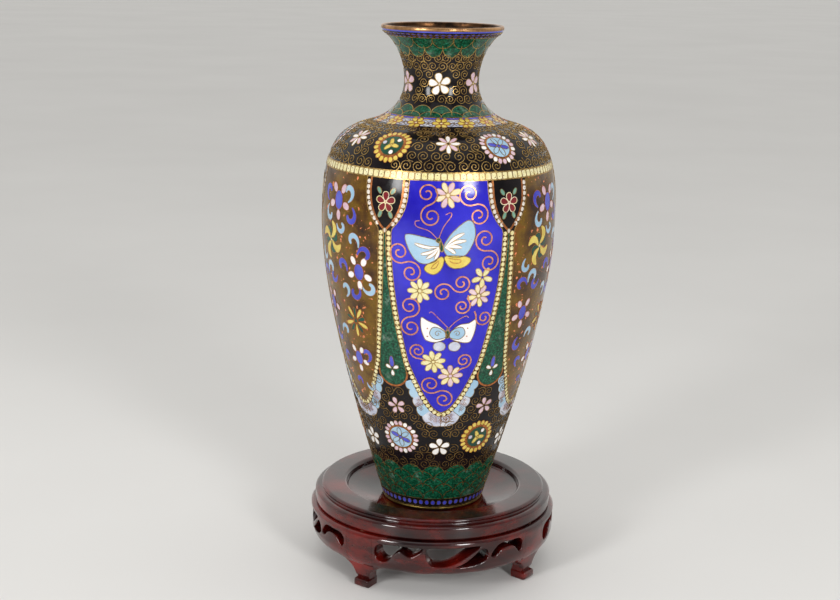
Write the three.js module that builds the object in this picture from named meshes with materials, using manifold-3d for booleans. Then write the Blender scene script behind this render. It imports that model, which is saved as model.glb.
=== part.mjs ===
// A cloisonne vase on its turned and carved wooden stand.
// Millimetres, +Z up. The origin is on the table, under the centre of the stand.
// Azimuth 0 faces -Y and grows towards +X.
import * as THREE from "three";
import { mergeVertices } from "three/addons/utils/BufferGeometryUtils.js";
import Module from "manifold-3d";

const wasm = await Module();
wasm.setup();

// ---- clearances ----
const gap = 0.3; // between pieces that touch
const facetSink = 0.85; // share of the gap that the middle of a facet may sink into
const segments = 28; // facets round every turned piece

// ---- vase: heights of its zones, from the foot up ----
const footRingHeight = 2.6;
const dotBandHeight = 4.4;
const scaleBandHeight = 19.5;
const tipZoneHeight = 30.5; // ground between the scales and the panels' tips
const lobeDrop = 13; // tips to the green lobes' round ends
const lobeHeight = 79; // lobes' round ends to the shields' tips
const shieldHeight = 23.5;
const creamBandHeight = 3.5;
const shoulderBandHeight = 18;
const collarHeight = 9.7;
const neckBandHeight = 22;
const mouthBorderHeight = 11.5;
const rimHeight = 2.8;

// ---- vase: radii of its outside ----
const footRadius = 25.5;
const bellyRadius = 57.9;
const shoulderRadius = 36.8; // where the shoulder turns into the neck
const neckRadius = 18;
const mouthRadius = 29.4;
const rimProud = 0.4; // the rim ring stands out by this much

// ---- vase: walls ----
const enamelDepth = 1;
const copperWall = 1.2;
const liningDepth = 0.6;
const rimWidth = 2.2;
const footRingWidth = 3.4;
const basePlateThickness = 1.2;
const basePlateLift = 1.5; // above the top of the foot ring

// ---- vase: pattern round the body, in degrees ----
const panelCount = 6;
const firstPanelAzimuth = 4;
const shieldHalfWidth = 8.5;
const beadBorder = 2.7;
const lobeNarrow = 0.6; // half-widths of a green lobe
const lobeWide = 9;
const panelTaper = 0.55; // how blunt a panel's pointed end is

// ---- stand ----
const footHeight = 3.6;
const frameTop = 29.3;
const frameRadius = 63;
const frameWall = 8.6;
const apronBottom = 12;
const legAzimuth = -35.4;
const legCount = 4;
const legWidth = 15.2;
const ankleWidth = 8.6;
const footWidth = 9;
const footInset = 2.3; // the feet, the ankles, the band and the disc lie inside the frame's radius
const ankleInset = 4.6;
const bandInset = 2.2;
const topDiscInset = 5.5;
const bandHeight = 6.7;
const coveHeight = 0.9;
const topDiscHeight = 1.9;
const recessRadius = 44.1;
const recessDepth = 7.6; // in the middle, where the vase stands
const recessWall = 3.6; // the upright edge of the recess, above its dished floor
const dishClearance = 2.5; // flat floor left round the foot
const plugClearance = 7.8; // between the thick middle of the board and the frame around it
const boardFloor = 5.4; // wood left under the recess
const dowelRadius = 2;
const dowelLength = 12;
const dowelInBoard = 4.2;
const dowelClearance = 0.3;

// ---- heights that follow ----
const level = {};
level.footRingTop = footRingHeight;
level.dotsTop = level.footRingTop + dotBandHeight;
level.scalesTop = level.dotsTop + scaleBandHeight;
level.panelTip = level.scalesTop + tipZoneHeight;
level.lobeBottom = level.panelTip + lobeDrop;
level.shieldTip = level.lobeBottom + lobeHeight;
level.panelTop = level.shieldTip + shieldHeight;
level.creamTop = level.panelTop + creamBandHeight;
level.shoulderTop = level.creamTop + shoulderBandHeight;
level.collarTop = level.shoulderTop + collarHeight;
level.neckTop = level.collarTop + neckBandHeight;
level.borderTop = level.neckTop + mouthBorderHeight;
level.rimTop = level.borderTop + rimHeight;
const footReach = frameRadius - footInset;
const ankleRadius = frameRadius - ankleInset;
const bandRadius = frameRadius - bandInset;
const topDiscRadius = frameRadius - topDiscInset;
const plugRadius = frameRadius - frameWall - plugClearance;
const bandTop = frameTop + gap + bandHeight;
const boardTop = bandTop + coveHeight + topDiscHeight;
const recessFloor = boardTop - recessDepth;
const vaseBase = recessFloor + gap;

const radians = THREE.MathUtils.degToRad;

// ================= solids =================

// Merges the seams of a geometry, drops its collapsed triangles and turns its faces outward.
function closed(geometry) {
  geometry.deleteAttribute("normal");
  geometry.deleteAttribute("uv");
  const merged = mergeVertices(geometry, 1e-4);
  const position = merged.attributes.position;
  const index = merged.index.array;
  const corners = [new THREE.Vector3(), new THREE.Vector3(), new THREE.Vector3()];
  const kept = [];
  let volume = 0;
  for (let i = 0; i < index.length; i += 3) {
    const [a, b, c] = index.slice(i, i + 3);
    if (a === b || b === c || c === a) continue;
    kept.push(a, b, c);
    [a, b, c].forEach((vertex, k) => corners[k].fromBufferAttribute(position, vertex));
    volume += corners[0].dot(corners[1].clone().cross(corners[2]));
  }
  merged.setIndex(volume < 0 ? kept.reverse() : kept);
  merged.computeVertexNormals();
  return merged;
}

function toManifold(geometry) {
  const solid = closed(geometry);
  return new wasm.Manifold(new wasm.Mesh({
    numProp: 3,
    vertProperties: new Float32Array(solid.attributes.position.array),
    triVerts: new Uint32Array(solid.index.array),
  }));
}

function fromManifold(manifold) {
  const mesh = manifold.getMesh();
  const geometry = new THREE.BufferGeometry();
  geometry.setAttribute("position", new THREE.BufferAttribute(new Float32Array(mesh.vertProperties), 3));
  geometry.setIndex([...mesh.triVerts]);
  geometry.computeVertexNormals();
  return geometry;
}

// A profile of [radius, height] points turned about the vertical axis.
function turned(points) {
  const ring = [...points];
  if (points[0][0] > 0) ring.push(points[0]);
  const lathe = new THREE.LatheGeometry(ring.map(([r, z]) => new THREE.Vector2(r, z)), segments);
  return closed(lathe.rotateX(Math.PI / 2));
}

// ================= vase wall =================

// The outside of the vase, as a curve of radius against height.
const wallPath = new THREE.Path();
const belly = level.panelTop - 25.5;
const shoulder = level.shoulderTop - 1.3;
const neck = level.collarTop + neckBandHeight * 0.43;
const footFlare = radians(16);
const shoulderSlope = radians(14.3);
const mouthFlare = radians(32.7);
wallPath.moveTo(footRadius, 0);
wallPath.bezierCurveTo(
  footRadius + 0.28 * belly * Math.sin(footFlare), 0.28 * belly * Math.cos(footFlare),
  bellyRadius, 0.69 * belly,
  bellyRadius, belly);
wallPath.bezierCurveTo(
  bellyRadius, belly + 0.55 * (shoulder - belly),
  shoulderRadius + 0.9 * (bellyRadius - shoulderRadius) * Math.cos(shoulderSlope),
  shoulder - 0.9 * (bellyRadius - shoulderRadius) * Math.sin(shoulderSlope),
  shoulderRadius, shoulder);
wallPath.bezierCurveTo(
  shoulderRadius - 0.54 * (shoulderRadius - neckRadius) * Math.cos(shoulderSlope),
  shoulder + 0.54 * (shoulderRadius - neckRadius) * Math.sin(shoulderSlope),
  neckRadius, neck - 0.57 * (neck - shoulder),
  neckRadius, neck);
wallPath.bezierCurveTo(
  neckRadius, neck + 0.46 * (level.borderTop - neck),
  mouthRadius - 0.64 * (mouthRadius - neckRadius) * Math.cos(mouthFlare),
  level.borderTop - 0.64 * (mouthRadius - neckRadius) * Math.sin(mouthFlare),
  mouthRadius, level.borderTop);
const wallSteps = 600;
const wallLine = wallPath.getSpacedPoints(wallSteps);
const wallLength = wallPath.getLength();
const wallTurn = radians(20); // how much the wall may turn between two rows of facets
const wallStride = 24; // and how far apart the rows may be
const lowerSeam = belly; // where the copper body is brazed together
const upperSeam = level.shoulderTop;

// The distances along the wall that every layer has a row of facets at.
function wallStations() {
  const slope = (i) => wallLine[i + 1].clone().sub(wallLine[i]).angle();
  const stations = [];
  let [lastSlope, last] = [slope(0), 0];
  for (let i = 1; i < wallSteps; i += 1) {
    const distance = (i / wallSteps) * wallLength;
    if (Math.abs(slope(i) - lastSlope) > wallTurn || distance - last > wallStride) {
      stations.push(distance);
      [lastSlope, last] = [slope(i), distance];
    }
  }
  return stations;
}

// How far along the wall a height lies, in millimetres from the foot.
function along(height) {
  let i = 1;
  while (i < wallSteps && wallLine[i].y < height) i += 1;
  const [low, high] = [wallLine[i - 1], wallLine[i]];
  const share = THREE.MathUtils.clamp((height - low.y) / (high.y - low.y), 0, 1);
  return ((i - 1 + share) / wallSteps) * wallLength;
}

const zoneStations = [
  lowerSeam, upperSeam, level.creamTop, level.collarTop, level.neckTop,
].map(along);
const sharedStations = [
  ...zoneStations,
  ...wallStations().filter((s) => zoneStations.every((zone) => Math.abs(zone - s) > 2)),
];

// The point [radius, height] at a distance along the wall, moved in by a depth square to the wall.
function wallPoint(distance, depth) {
  const step = THREE.MathUtils.clamp((distance / wallLength) * wallSteps, 0, wallSteps - 1e-6);
  const i = Math.floor(step);
  const point = wallLine[i].clone().lerp(wallLine[i + 1], step - i);
  const along = wallLine[i + 1].clone().sub(wallLine[i]).normalize();
  return [point.x - depth * along.y, point.y + depth * along.x + vaseBase];
}

function steps(low, high, count) {
  return Array.from({ length: count + 1 }, (_, i) => low + ((high - low) * i) / count);
}

// The rows of a layer that reaches from one distance to another along the wall.
function rowsBetween(low, high, extra = []) {
  const inside = [...sharedStations, ...extra].filter((s) => s > low + 0.6 && s < high - 0.6);
  return [low, ...inside.sort((a, b) => a - b), high];
}

// Where a layer ends. At the mouth every layer is cut off level, under the rim ring.
function topStation(height, depth) {
  let station = along(height) - gap / 2;
  if (height < level.borderTop) return station;
  while (wallPoint(station, depth)[1] > vaseBase + height - gap / 2) station -= 0.02;
  return station;
}

// One layer of the wall between two heights, all the way round.
function wallBand(lowHeight, highHeight, outerDepth, innerDepth) {
  const side = (depth) => rowsBetween(along(lowHeight) + gap / 2, topStation(highHeight, depth))
    .map((s) => wallPoint(s, depth));
  return turned([...side(outerDepth), ...side(innerDepth).reverse()]);
}

// The widest facet, in degrees, whose middle stays clear of the copper under it.
const facetAngle = THREE.MathUtils.radToDeg(2 * Math.acos(1 - (facetSink * gap) / bellyRadius));

// A patch of the wall between two heights. edge gives its half-width in degrees at a height,
// bends are the heights where that width turns quickly, and trim makes the patch narrower on
// each side, in millimetres.
function wallPatch({ low, high, azimuth, edge, bends = [], outerDepth, innerDepth, trim }) {
  const positions = [];
  const index = [];
  const stations = rowsBetween(along(low) + trim, along(high) - trim, bends.map(along));
  const rows = stations.length - 1;
  const widest = Math.max(...stations.map((s) => edge(wallPoint(s, 0)[1] - vaseBase)));
  const columns = Math.ceil((2 * widest) / facetAngle);
  for (const depth of [outerDepth, innerDepth]) {
    for (const s of stations) {
      const [, height] = wallPoint(s, 0);
      const [radius, z] = wallPoint(s, depth);
      const halfWidth = Math.max(edge(height - vaseBase) - THREE.MathUtils.radToDeg(trim / radius), 0.2);
      for (const share of steps(-1, 1, columns)) {
        const angle = radians(azimuth + share * halfWidth);
        positions.push(radius * Math.sin(angle), -radius * Math.cos(angle), z);
      }
    }
  }
  const at = (layer, row, column) => (layer * (rows + 1) + row) * (columns + 1) + column;
  const quad = (a, b, c, d) => index.push(a, b, c, a, c, d);
  for (let row = 0; row < rows; row += 1) {
    for (let column = 0; column < columns; column += 1) {
      quad(at(0, row, column), at(0, row, column + 1), at(0, row + 1, column + 1), at(0, row + 1, column));
      quad(at(1, row, column), at(1, row + 1, column), at(1, row + 1, column + 1), at(1, row, column + 1));
    }
    quad(at(0, row, 0), at(0, row + 1, 0), at(1, row + 1, 0), at(1, row, 0));
    quad(at(0, row, columns), at(1, row, columns), at(1, row + 1, columns), at(0, row + 1, columns));
  }
  for (let column = 0; column < columns; column += 1) {
    quad(at(0, 0, column), at(1, 0, column), at(1, 0, column + 1), at(0, 0, column + 1));
    quad(at(0, rows, column), at(0, rows, column + 1), at(1, rows, column + 1), at(1, rows, column));
  }
  const geometry = new THREE.BufferGeometry();
  geometry.setAttribute("position", new THREE.Float32BufferAttribute(positions, 3));
  geometry.setIndex(index);
  return closed(geometry);
}

// ---- half-widths of the pattern's fields, in degrees, at a height on the vase ----
const panelPitch = 360 / panelCount;
const roundHeight = 7; // height of a green lobe's round end

function lobeEdge(height) {
  const roundTop = level.lobeBottom + roundHeight;
  if (height < roundTop) {
    const drop = THREE.MathUtils.clamp((roundTop - height) / roundHeight, 0, 1);
    return lobeWide * Math.sqrt(1 - drop * drop);
  }
  const share = THREE.MathUtils.clamp((level.shieldTip - height) / (level.shieldTip - roundTop), 0, 1);
  return lobeNarrow + (lobeWide - lobeNarrow) * share ** 2.1;
}

function shieldEdge(height) {
  const share = THREE.MathUtils.clamp((height - level.shieldTip) / shieldHeight, 0, 1);
  return lobeNarrow + (shieldHalfWidth - lobeNarrow) * (1 - (1 - share) ** 3);
}

function panelEdge(height) {
  if (height >= level.shieldTip) return panelPitch / 2 - beadBorder - shieldEdge(height);
  const taperTop = level.lobeBottom + 2 * roundHeight;
  const besideLobe = panelPitch / 2 - beadBorder - lobeEdge(Math.max(height, taperTop));
  if (height >= taperTop) return besideLobe;
  const share = Math.max(height - level.panelTip, 0) / (taperTop - level.panelTip);
  return besideLobe * share ** panelTaper;
}

const betweenPanels = (height) => panelPitch / 2 - panelEdge(height);
const tipBends = [1.5, 5, 10, 17, 26].map((rise) => level.panelTip + rise);
const shieldBends = [3, 7, 13].map((rise) => level.shieldTip + rise);

// ================= pieces of the vase =================

const enamelInner = enamelDepth;
const copperOuter = enamelDepth + gap;
const copperInner = copperOuter + copperWall;
const liningOuter = copperInner + gap;
const liningInner = liningOuter + liningDepth;

const enamelBand = (low, high) => wallBand(low, high, 0, enamelInner);
const copperBand = (low, high) => wallBand(low, high, copperOuter, copperInner);
const enamelPatch = (shape) => wallPatch({
  outerDepth: 0, innerDepth: enamelInner, trim: gap / 2, ...shape,
});

function footRing() {
  const [outer] = wallPoint(0, 0);
  return turned([
    [outer - footRingWidth, vaseBase], [outer - 0.3, vaseBase], [outer + 0.3, vaseBase + 0.8],
    [outer + 0.3, vaseBase + level.footRingTop - 0.4], [outer, vaseBase + level.footRingTop - gap],
    [outer - footRingWidth, vaseBase + level.footRingTop - gap],
  ]);
}

function basePlate() {
  const bottom = level.footRingTop + basePlateLift;
  const radius = wallPoint(along(bottom), liningInner)[0] - gap;
  const low = vaseBase + bottom;
  return turned([[0, low], [radius, low], [radius, low + basePlateThickness], [0, low + basePlateThickness]]);
}

function rimRing() {
  const outer = mouthRadius + rimProud;
  const low = vaseBase + level.borderTop + gap;
  const high = vaseBase + level.rimTop;
  const inner = outer - rimWidth;
  return turned([
    [inner, low], [outer, low], [outer + 0.1, (low + high) / 2], [outer - 0.4, high],
    [inner + 0.5, high], [inner, high - 0.6],
  ]);
}

// The ground below the panels, with their pointed ends cut out of it.
function lowerGround() {
  let ground = toManifold(enamelBand(level.scalesTop, level.lobeBottom));
  for (let i = 0; i < panelCount; i += 1) {
    const tip = wallPatch({
      low: level.panelTip, high: level.lobeBottom + 3, azimuth: firstPanelAzimuth + i * panelPitch,
      edge: panelEdge, bends: tipBends, outerDepth: -2, innerDepth: enamelInner + 1, trim: -gap,
    });
    ground = ground.subtract(toManifold(tip));
  }
  return fromManifold(ground);
}

function panel(azimuth) {
  return enamelPatch({
    low: level.panelTip, high: level.panelTop, azimuth, edge: panelEdge,
    bends: [...tipBends, ...shieldBends],
  });
}

function greenLobe(azimuth) {
  return enamelPatch({
    low: level.lobeBottom, high: level.shieldTip, azimuth, edge: betweenPanels, bends: tipBends,
  });
}

function shield(azimuth) {
  return enamelPatch({
    low: level.shieldTip, high: level.panelTop, azimuth, edge: betweenPanels, bends: shieldBends,
  });
}

// ================= pieces of the stand =================

// The carved frame's outside and inside, as [radius, height] points from the top down.
const frameOutside = [
  [frameRadius - 0.9, frameTop], [frameRadius, frameTop - 1.2], [frameRadius - 0.4, apronBottom + 5],
  [frameRadius - 2.6, apronBottom],
];
const frameInside = [
  [frameRadius - frameWall, frameTop], [frameRadius - frameWall - 0.6, frameTop - 6],
  [frameRadius - frameWall - 2.6, apronBottom],
];

// A closed outline of [across, up] points stretched along Y, from near to far.
function slab(points, near, far, holes = []) {
  const shape = new THREE.Shape(points.map(([x, y]) => new THREE.Vector2(x, y)));
  shape.holes = holes;
  const solid = new THREE.ExtrudeGeometry(shape, { depth: far - near, bevelEnabled: false, curveSegments: 2 });
  return solid.rotateX(Math.PI / 2).translate(0, far, 0);
}

// A rounded opening through an apron, between two places across it and two heights.
function roundedOpening(left, right, low, high, cornerRadius) {
  const r = Math.min(cornerRadius, (high - low) / 2 - 0.1, (right - left) / 2 - 0.1);
  const path = new THREE.Path();
  path.absarc(left + r, low + r, r, Math.PI, 1.5 * Math.PI);
  path.absarc(right - r, low + r, r, 1.5 * Math.PI, 2 * Math.PI);
  path.absarc(right - r, high - r, r, 0, 0.5 * Math.PI);
  path.absarc(left + r, high - r, r, 0.5 * Math.PI, Math.PI);
  path.closePath();
  return path;
}

// One carved apron between two legs, built facing -Y.
function apron() {
  const quarter = frameRadius * 1.5;
  const wedge = new THREE.ExtrudeGeometry(
    new THREE.Shape([[0, 0], [-quarter, -quarter], [quarter, -quarter]].map(([x, y]) => new THREE.Vector2(x, y))),
    { depth: frameTop + 10, bevelEnabled: false });
  const openingTop = frameTop - 3.2;
  const openingLow = apronBottom + 3.4;
  const reach = frameRadius * Math.sin(radians(45)) - legWidth / 2 - 3.5;
  const bar = 2.4;
  const width = (2 * reach - 3 * bar) / 4;
  const openings = steps(0, 3, 3).map((i) => {
    const left = -reach + i * (width + bar);
    return roundedOpening(left, left + width, i === 0 || i === 3 ? openingLow + 3.5 : openingLow, openingTop, 3);
  });
  const face = [
    [-frameRadius, apronBottom + 2.5], [-0.52 * frameRadius, apronBottom + 2], [-0.4 * frameRadius, apronBottom],
    [0.4 * frameRadius, apronBottom], [0.52 * frameRadius, apronBottom + 2], [frameRadius, apronBottom + 2.5],
    [frameRadius, frameTop + 1], [-frameRadius, frameTop + 1],
  ];
  let solid = toManifold(turned([...frameInside.slice().reverse(), ...frameOutside]))
    .intersect(toManifold(wedge))
    .intersect(toManifold(slab(face, -frameRadius - 5, 0, openings)));
  for (const side of [-1, 1]) {
    const halfSlot = legWidth / 2 + gap;
    const slot = slab([[-halfSlot, -5], [halfSlot, -5], [halfSlot, frameTop + 5], [-halfSlot, frameTop + 5]],
      -frameRadius - 5, -10);
    solid = solid.subtract(toManifold(slot.rotateZ(side * radians(180 / legCount))));
  }
  return fromManifold(solid);
}

// One leg with its foot, built facing -Y. A dowel hole runs down into its top.
function leg() {
  const outside = [
    ...frameOutside, [ankleRadius + 1.2, 0.5 * apronBottom], [ankleRadius, footHeight + 0.5],
    [footReach, footHeight], [footReach, 0.5], [footReach - 0.5, 0],
  ];
  const footBack = footReach - footWidth;
  const inside = [[footBack, 0], [footBack, footHeight], [footBack + 1.6, 0.7 * apronBottom], ...frameInside.slice().reverse()];
  const side = slab([...outside, ...inside].map(([r, z]) => [-r, z]), -legWidth, legWidth);
  const [top, ankle, foot] = [legWidth / 2, ankleWidth / 2, footWidth / 2];
  const half = [
    [foot, 0], [foot, footHeight], [ankle, footHeight + 0.6], [ankle + 0.5, 0.55 * apronBottom],
    [ankle + 1.6, 0.8 * apronBottom], [top, apronBottom + 2.5], [top, frameTop + 1],
  ];
  const front = slab([...half, ...half.map(([x, z]) => [-x, z]).reverse()], -frameRadius - 5, 0);
  const hole = dowelSolid(dowelRadius + dowelClearance,
    frameTop - (dowelLength - dowelInBoard) - gap, frameTop + 5);
  return fromManifold(toManifold(side.rotateZ(Math.PI / 2))
    .intersect(toManifold(front)).subtract(toManifold(hole)));
}

const dowelPlace = frameRadius - frameWall / 2 - 0.6; // distance of the dowels from the axis

function dowelSolid(radius, low, high) {
  return new THREE.CylinderGeometry(radius, radius, high - low, 12)
    .rotateX(Math.PI / 2).translate(0, -dowelPlace, (low + high) / 2);
}

const dowelLow = frameTop - (dowelLength - dowelInBoard);
const dowel = () => closed(dowelSolid(dowelRadius, dowelLow, dowelLow + dowelLength));

function standTop() {
  const under = frameTop + gap;
  const coveTop = bandTop + coveHeight;
  let board = toManifold(turned([
    [0, recessFloor - boardFloor], [plugRadius, recessFloor - boardFloor], [plugRadius, under],
    [bandRadius - 0.7, under], [bandRadius, under + 0.7], [bandRadius, bandTop - 0.7], [bandRadius - 0.7, bandTop],
    [topDiscRadius, coveTop], [topDiscRadius, boardTop - 0.6], [topDiscRadius - 0.8, boardTop],
    [recessRadius + 0.4, boardTop], [recessRadius, boardTop - 0.4], [recessRadius - 0.4, boardTop - recessWall],
    [footRadius + dishClearance, recessFloor], [0, recessFloor],
  ]));
  const hole = dowelSolid(dowelRadius + dowelClearance, under - 1, dowelLow + dowelLength + gap);
  for (let i = 0; i < legCount; i += 1) {
    board = board.subtract(toManifold(hole.clone().rotateZ(radians(legAzimuth + (i * 360) / legCount))));
  }
  return fromManifold(board);
}

// ================= materials =================

const material = (color, roughness, metalness = 0) =>
  new THREE.MeshStandardMaterial({ color, roughness, metalness });
const copper = material(0xb06a40, 0.4, 1);
const brass = material(0xb48250, 0.3, 1);
const blackEnamel = material(0x141012, 0.15);
const greenEnamel = material(0x145a3c, 0.15);
const blueEnamel = material(0x2a1fc0, 0.15);
const goldstone = material(0x70460f, 0.2);
const creamEnamel = material(0xebe1a0, 0.2);
const yellowEnamel = material(0xc8b450, 0.2);
const turquoise = material(0x78beb4, 0.3);
const lacquer = material(0x5a0f0a, 0.2);
const bareWood = material(0x8a5a34, 0.7);

// ================= assembly =================

const object = new THREE.Group();

function add(name, geometry, finish, azimuth = 0) {
  const mesh = new THREE.Mesh(geometry, finish);
  mesh.name = name;
  mesh.rotation.z = radians(azimuth);
  object.add(mesh);
}

add("copper_lower_body", copperBand(level.footRingTop, lowerSeam), copper);
add("copper_shoulder", copperBand(lowerSeam, upperSeam), copper);
add("copper_neck", copperBand(upperSeam, level.borderTop), copper);
add("inner_enamel", wallBand(level.footRingTop, level.borderTop, liningOuter, liningInner), turquoise);
add("base_plate", basePlate(), copper);
add("foot_ring", footRing(), brass);
add("rim_ring", rimRing(), brass);
add("foot_dot_band", enamelBand(level.footRingTop, level.dotsTop), blueEnamel);
add("foot_scale_band", enamelBand(level.dotsTop, level.scalesTop), greenEnamel);
add("lower_ground", lowerGround(), blackEnamel);
for (let i = 0; i < panelCount; i += 1) {
  const azimuth = firstPanelAzimuth + i * panelPitch;
  const isBlue = i % 2 === 0;
  add(`${isBlue ? "blue" : "brown"}_panel_${1 + Math.floor(i / 2)}`, panel(azimuth), isBlue ? blueEnamel : goldstone);
  add(`green_lobe_${i + 1}`, greenLobe(azimuth + panelPitch / 2), greenEnamel);
  add(`shield_${i + 1}`, shield(azimuth + panelPitch / 2), blackEnamel);
}
add("cream_band", enamelBand(level.panelTop, level.creamTop), creamEnamel);
add("shoulder_ground", enamelBand(level.creamTop, level.shoulderTop), blackEnamel);
add("collar_band", enamelBand(level.shoulderTop, level.collarTop), yellowEnamel);
add("neck_ground", enamelBand(level.collarTop, level.neckTop), blackEnamel);
add("mouth_border", enamelBand(level.neckTop, level.borderTop), greenEnamel);

add("stand_top", standTop(), lacquer);
const apronGeometry = apron();
const legGeometry = leg();
const dowelGeometry = dowel();
for (let i = 0; i < legCount; i += 1) {
  const azimuth = legAzimuth + (i * 360) / legCount;
  add(`leg_${i + 1}`, legGeometry, lacquer, azimuth);
  add(`dowel_${i + 1}`, dowelGeometry, bareWood, azimuth);
  add(`apron_${i + 1}`, apronGeometry, lacquer, azimuth + 180 / legCount);
}

export default object;
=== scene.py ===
"""The looks of a cloisonne vase on its carved stand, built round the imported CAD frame."""
import math
import random

import bmesh
import bpy
import numpy as np
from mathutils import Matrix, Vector


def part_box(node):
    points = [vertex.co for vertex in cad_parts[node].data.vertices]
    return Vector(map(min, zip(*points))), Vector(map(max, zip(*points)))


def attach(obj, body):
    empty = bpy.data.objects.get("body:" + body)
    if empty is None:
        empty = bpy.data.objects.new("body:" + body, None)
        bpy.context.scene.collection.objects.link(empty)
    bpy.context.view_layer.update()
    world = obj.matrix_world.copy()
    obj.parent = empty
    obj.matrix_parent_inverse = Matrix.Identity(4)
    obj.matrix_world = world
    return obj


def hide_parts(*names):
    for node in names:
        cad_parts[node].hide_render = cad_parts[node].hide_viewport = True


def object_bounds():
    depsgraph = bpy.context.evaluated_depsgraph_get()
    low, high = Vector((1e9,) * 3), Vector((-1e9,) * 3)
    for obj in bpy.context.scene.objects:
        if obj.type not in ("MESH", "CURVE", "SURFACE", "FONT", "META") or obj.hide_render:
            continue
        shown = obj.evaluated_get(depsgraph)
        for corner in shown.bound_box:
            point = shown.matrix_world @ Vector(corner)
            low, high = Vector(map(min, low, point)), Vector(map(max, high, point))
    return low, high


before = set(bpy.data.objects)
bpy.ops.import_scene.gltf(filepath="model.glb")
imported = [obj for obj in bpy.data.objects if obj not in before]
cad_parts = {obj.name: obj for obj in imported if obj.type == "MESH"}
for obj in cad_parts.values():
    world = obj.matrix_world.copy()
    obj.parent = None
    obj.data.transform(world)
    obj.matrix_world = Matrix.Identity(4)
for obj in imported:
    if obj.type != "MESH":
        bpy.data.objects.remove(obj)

MM = 0.001
cad_low, cad_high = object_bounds()
rng = random.Random(11)

# ---------------------------------------------------------------- heights and radii, in mm
VASE_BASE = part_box("foot_ring")[0].z / MM  # the foot's height above the table
RIM_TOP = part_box("rim_ring")[1].z / MM - VASE_BASE
FOOT_RING_TOP = 1.3
DOTS_TOP = 6.6
SCALES_TOP = 26.5
PANEL_TIP = 57.0
LOBE_BOTTOM = 70.0
SHIELD_TIP = 149.0
PANEL_TOP = 172.5
CREAM_TOP = 176.0
SHOULDER_TOP = 194.0
COLLAR_TOP = 203.7
NECK_TOP = 225.7
BORDER_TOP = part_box("rim_ring")[0].z / MM - VASE_BASE - 0.3

FOOT_RADIUS = 25.5
BELLY_RADIUS = 57.9
SHOULDER_RADIUS = 36.8
NECK_RADIUS = 18.0
MOUTH_RADIUS = 29.4
WALL_DEPTH = 1.0  # the enamel's depth

PANELS = 6
FIRST_PANEL = 4.0
PITCH = 360.0 / PANELS
SHIELD_HALF = 8.5
BEAD_BORDER = 2.7
BEAD_INSET, BEAD_SPACING = 1.3, 2.42
LOBE_NARROW, LOBE_WIDE = 0.6, 9.0
LOBE_ROUND = 7.0
PANEL_TAPER = 0.55

# lifts above the wall, in mm: each layer of cells lies just over the one below
FIELD, CELL, DETAIL, WIRE = 0.06, 0.12, 0.17, 0.22
SCROLL_WIDTH = 0.68


# ---------------------------------------------------------------- camera
def make_camera():
    """A short telephoto from a little above, as one looks down on a vase on a cabinet."""
    distance, height, pitch, roll = 0.72046, 0.30819, 13.549, 1.12
    data = bpy.data.cameras.new("camera")
    data.lens = 62.77
    data.sensor_width = 36.0
    camera = bpy.data.objects.new("camera", data)
    camera.location = (-0.0084, -distance, height)
    camera.rotation_mode = "XYZ"
    camera.rotation_euler = (math.radians(90 - pitch), 0, 0)
    camera.rotation_euler.rotate_axis("Z", math.radians(roll))
    bpy.context.scene.collection.objects.link(camera)
    bpy.context.scene.camera = camera


make_camera()


# ---------------------------------------------------------------- the vase's wall
def bezier(a, b, c, d, count=160):
    t = np.linspace(0, 1, count, endpoint=False)[:, None]
    a, b, c, d = (np.array(p, float) for p in (a, b, c, d))
    return (1 - t) ** 3 * a + 3 * (1 - t) ** 2 * t * b + 3 * (1 - t) * t * t * c + t ** 3 * d


def wall_line():
    """The outside of the vase as (radius, height) points from the foot up."""
    belly = PANEL_TOP - 25.5
    shoulder = SHOULDER_TOP - 1.3
    neck = COLLAR_TOP + 0.43 * (NECK_TOP - COLLAR_TOP)
    flare, slope, mouth = math.radians(16), math.radians(14.3), math.radians(32.7)
    drop = BELLY_RADIUS - SHOULDER_RADIUS
    step = SHOULDER_RADIUS - NECK_RADIUS
    spread = MOUTH_RADIUS - NECK_RADIUS
    spans = [
        bezier((FOOT_RADIUS, 0),
               (FOOT_RADIUS + 0.28 * belly * math.sin(flare), 0.28 * belly * math.cos(flare)),
               (BELLY_RADIUS, 0.69 * belly), (BELLY_RADIUS, belly)),
        bezier((BELLY_RADIUS, belly), (BELLY_RADIUS, belly + 0.55 * (shoulder - belly)),
               (SHOULDER_RADIUS + 0.9 * drop * math.cos(slope), shoulder - 0.9 * drop * math.sin(slope)),
               (SHOULDER_RADIUS, shoulder)),
        bezier((SHOULDER_RADIUS, shoulder),
               (SHOULDER_RADIUS - 0.54 * step * math.cos(slope), shoulder + 0.54 * step * math.sin(slope)),
               (NECK_RADIUS, neck - 0.57 * (neck - shoulder)), (NECK_RADIUS, neck)),
        bezier((NECK_RADIUS, neck), (NECK_RADIUS, neck + 0.46 * (BORDER_TOP - neck)),
               (MOUTH_RADIUS - 0.64 * spread * math.cos(mouth), BORDER_TOP - 0.64 * spread * math.sin(mouth)),
               (MOUTH_RADIUS, BORDER_TOP)),
        np.array([(MOUTH_RADIUS, BORDER_TOP)]),
    ]
    return np.vstack(spans)


LINE = wall_line()
LINE_S = np.concatenate([[0], np.cumsum(np.hypot(*np.diff(LINE, axis=0).T))])
LINE_T = np.gradient(LINE, LINE_S, axis=0)
LINE_T /= np.linalg.norm(LINE_T, axis=1)[:, None]


def along(height):
    """The distance along the wall, from the foot, of a height."""
    return np.interp(height, LINE[:, 1], LINE_S)


def radius_at(s):
    return np.interp(s, LINE_S, LINE[:, 0])


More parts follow.
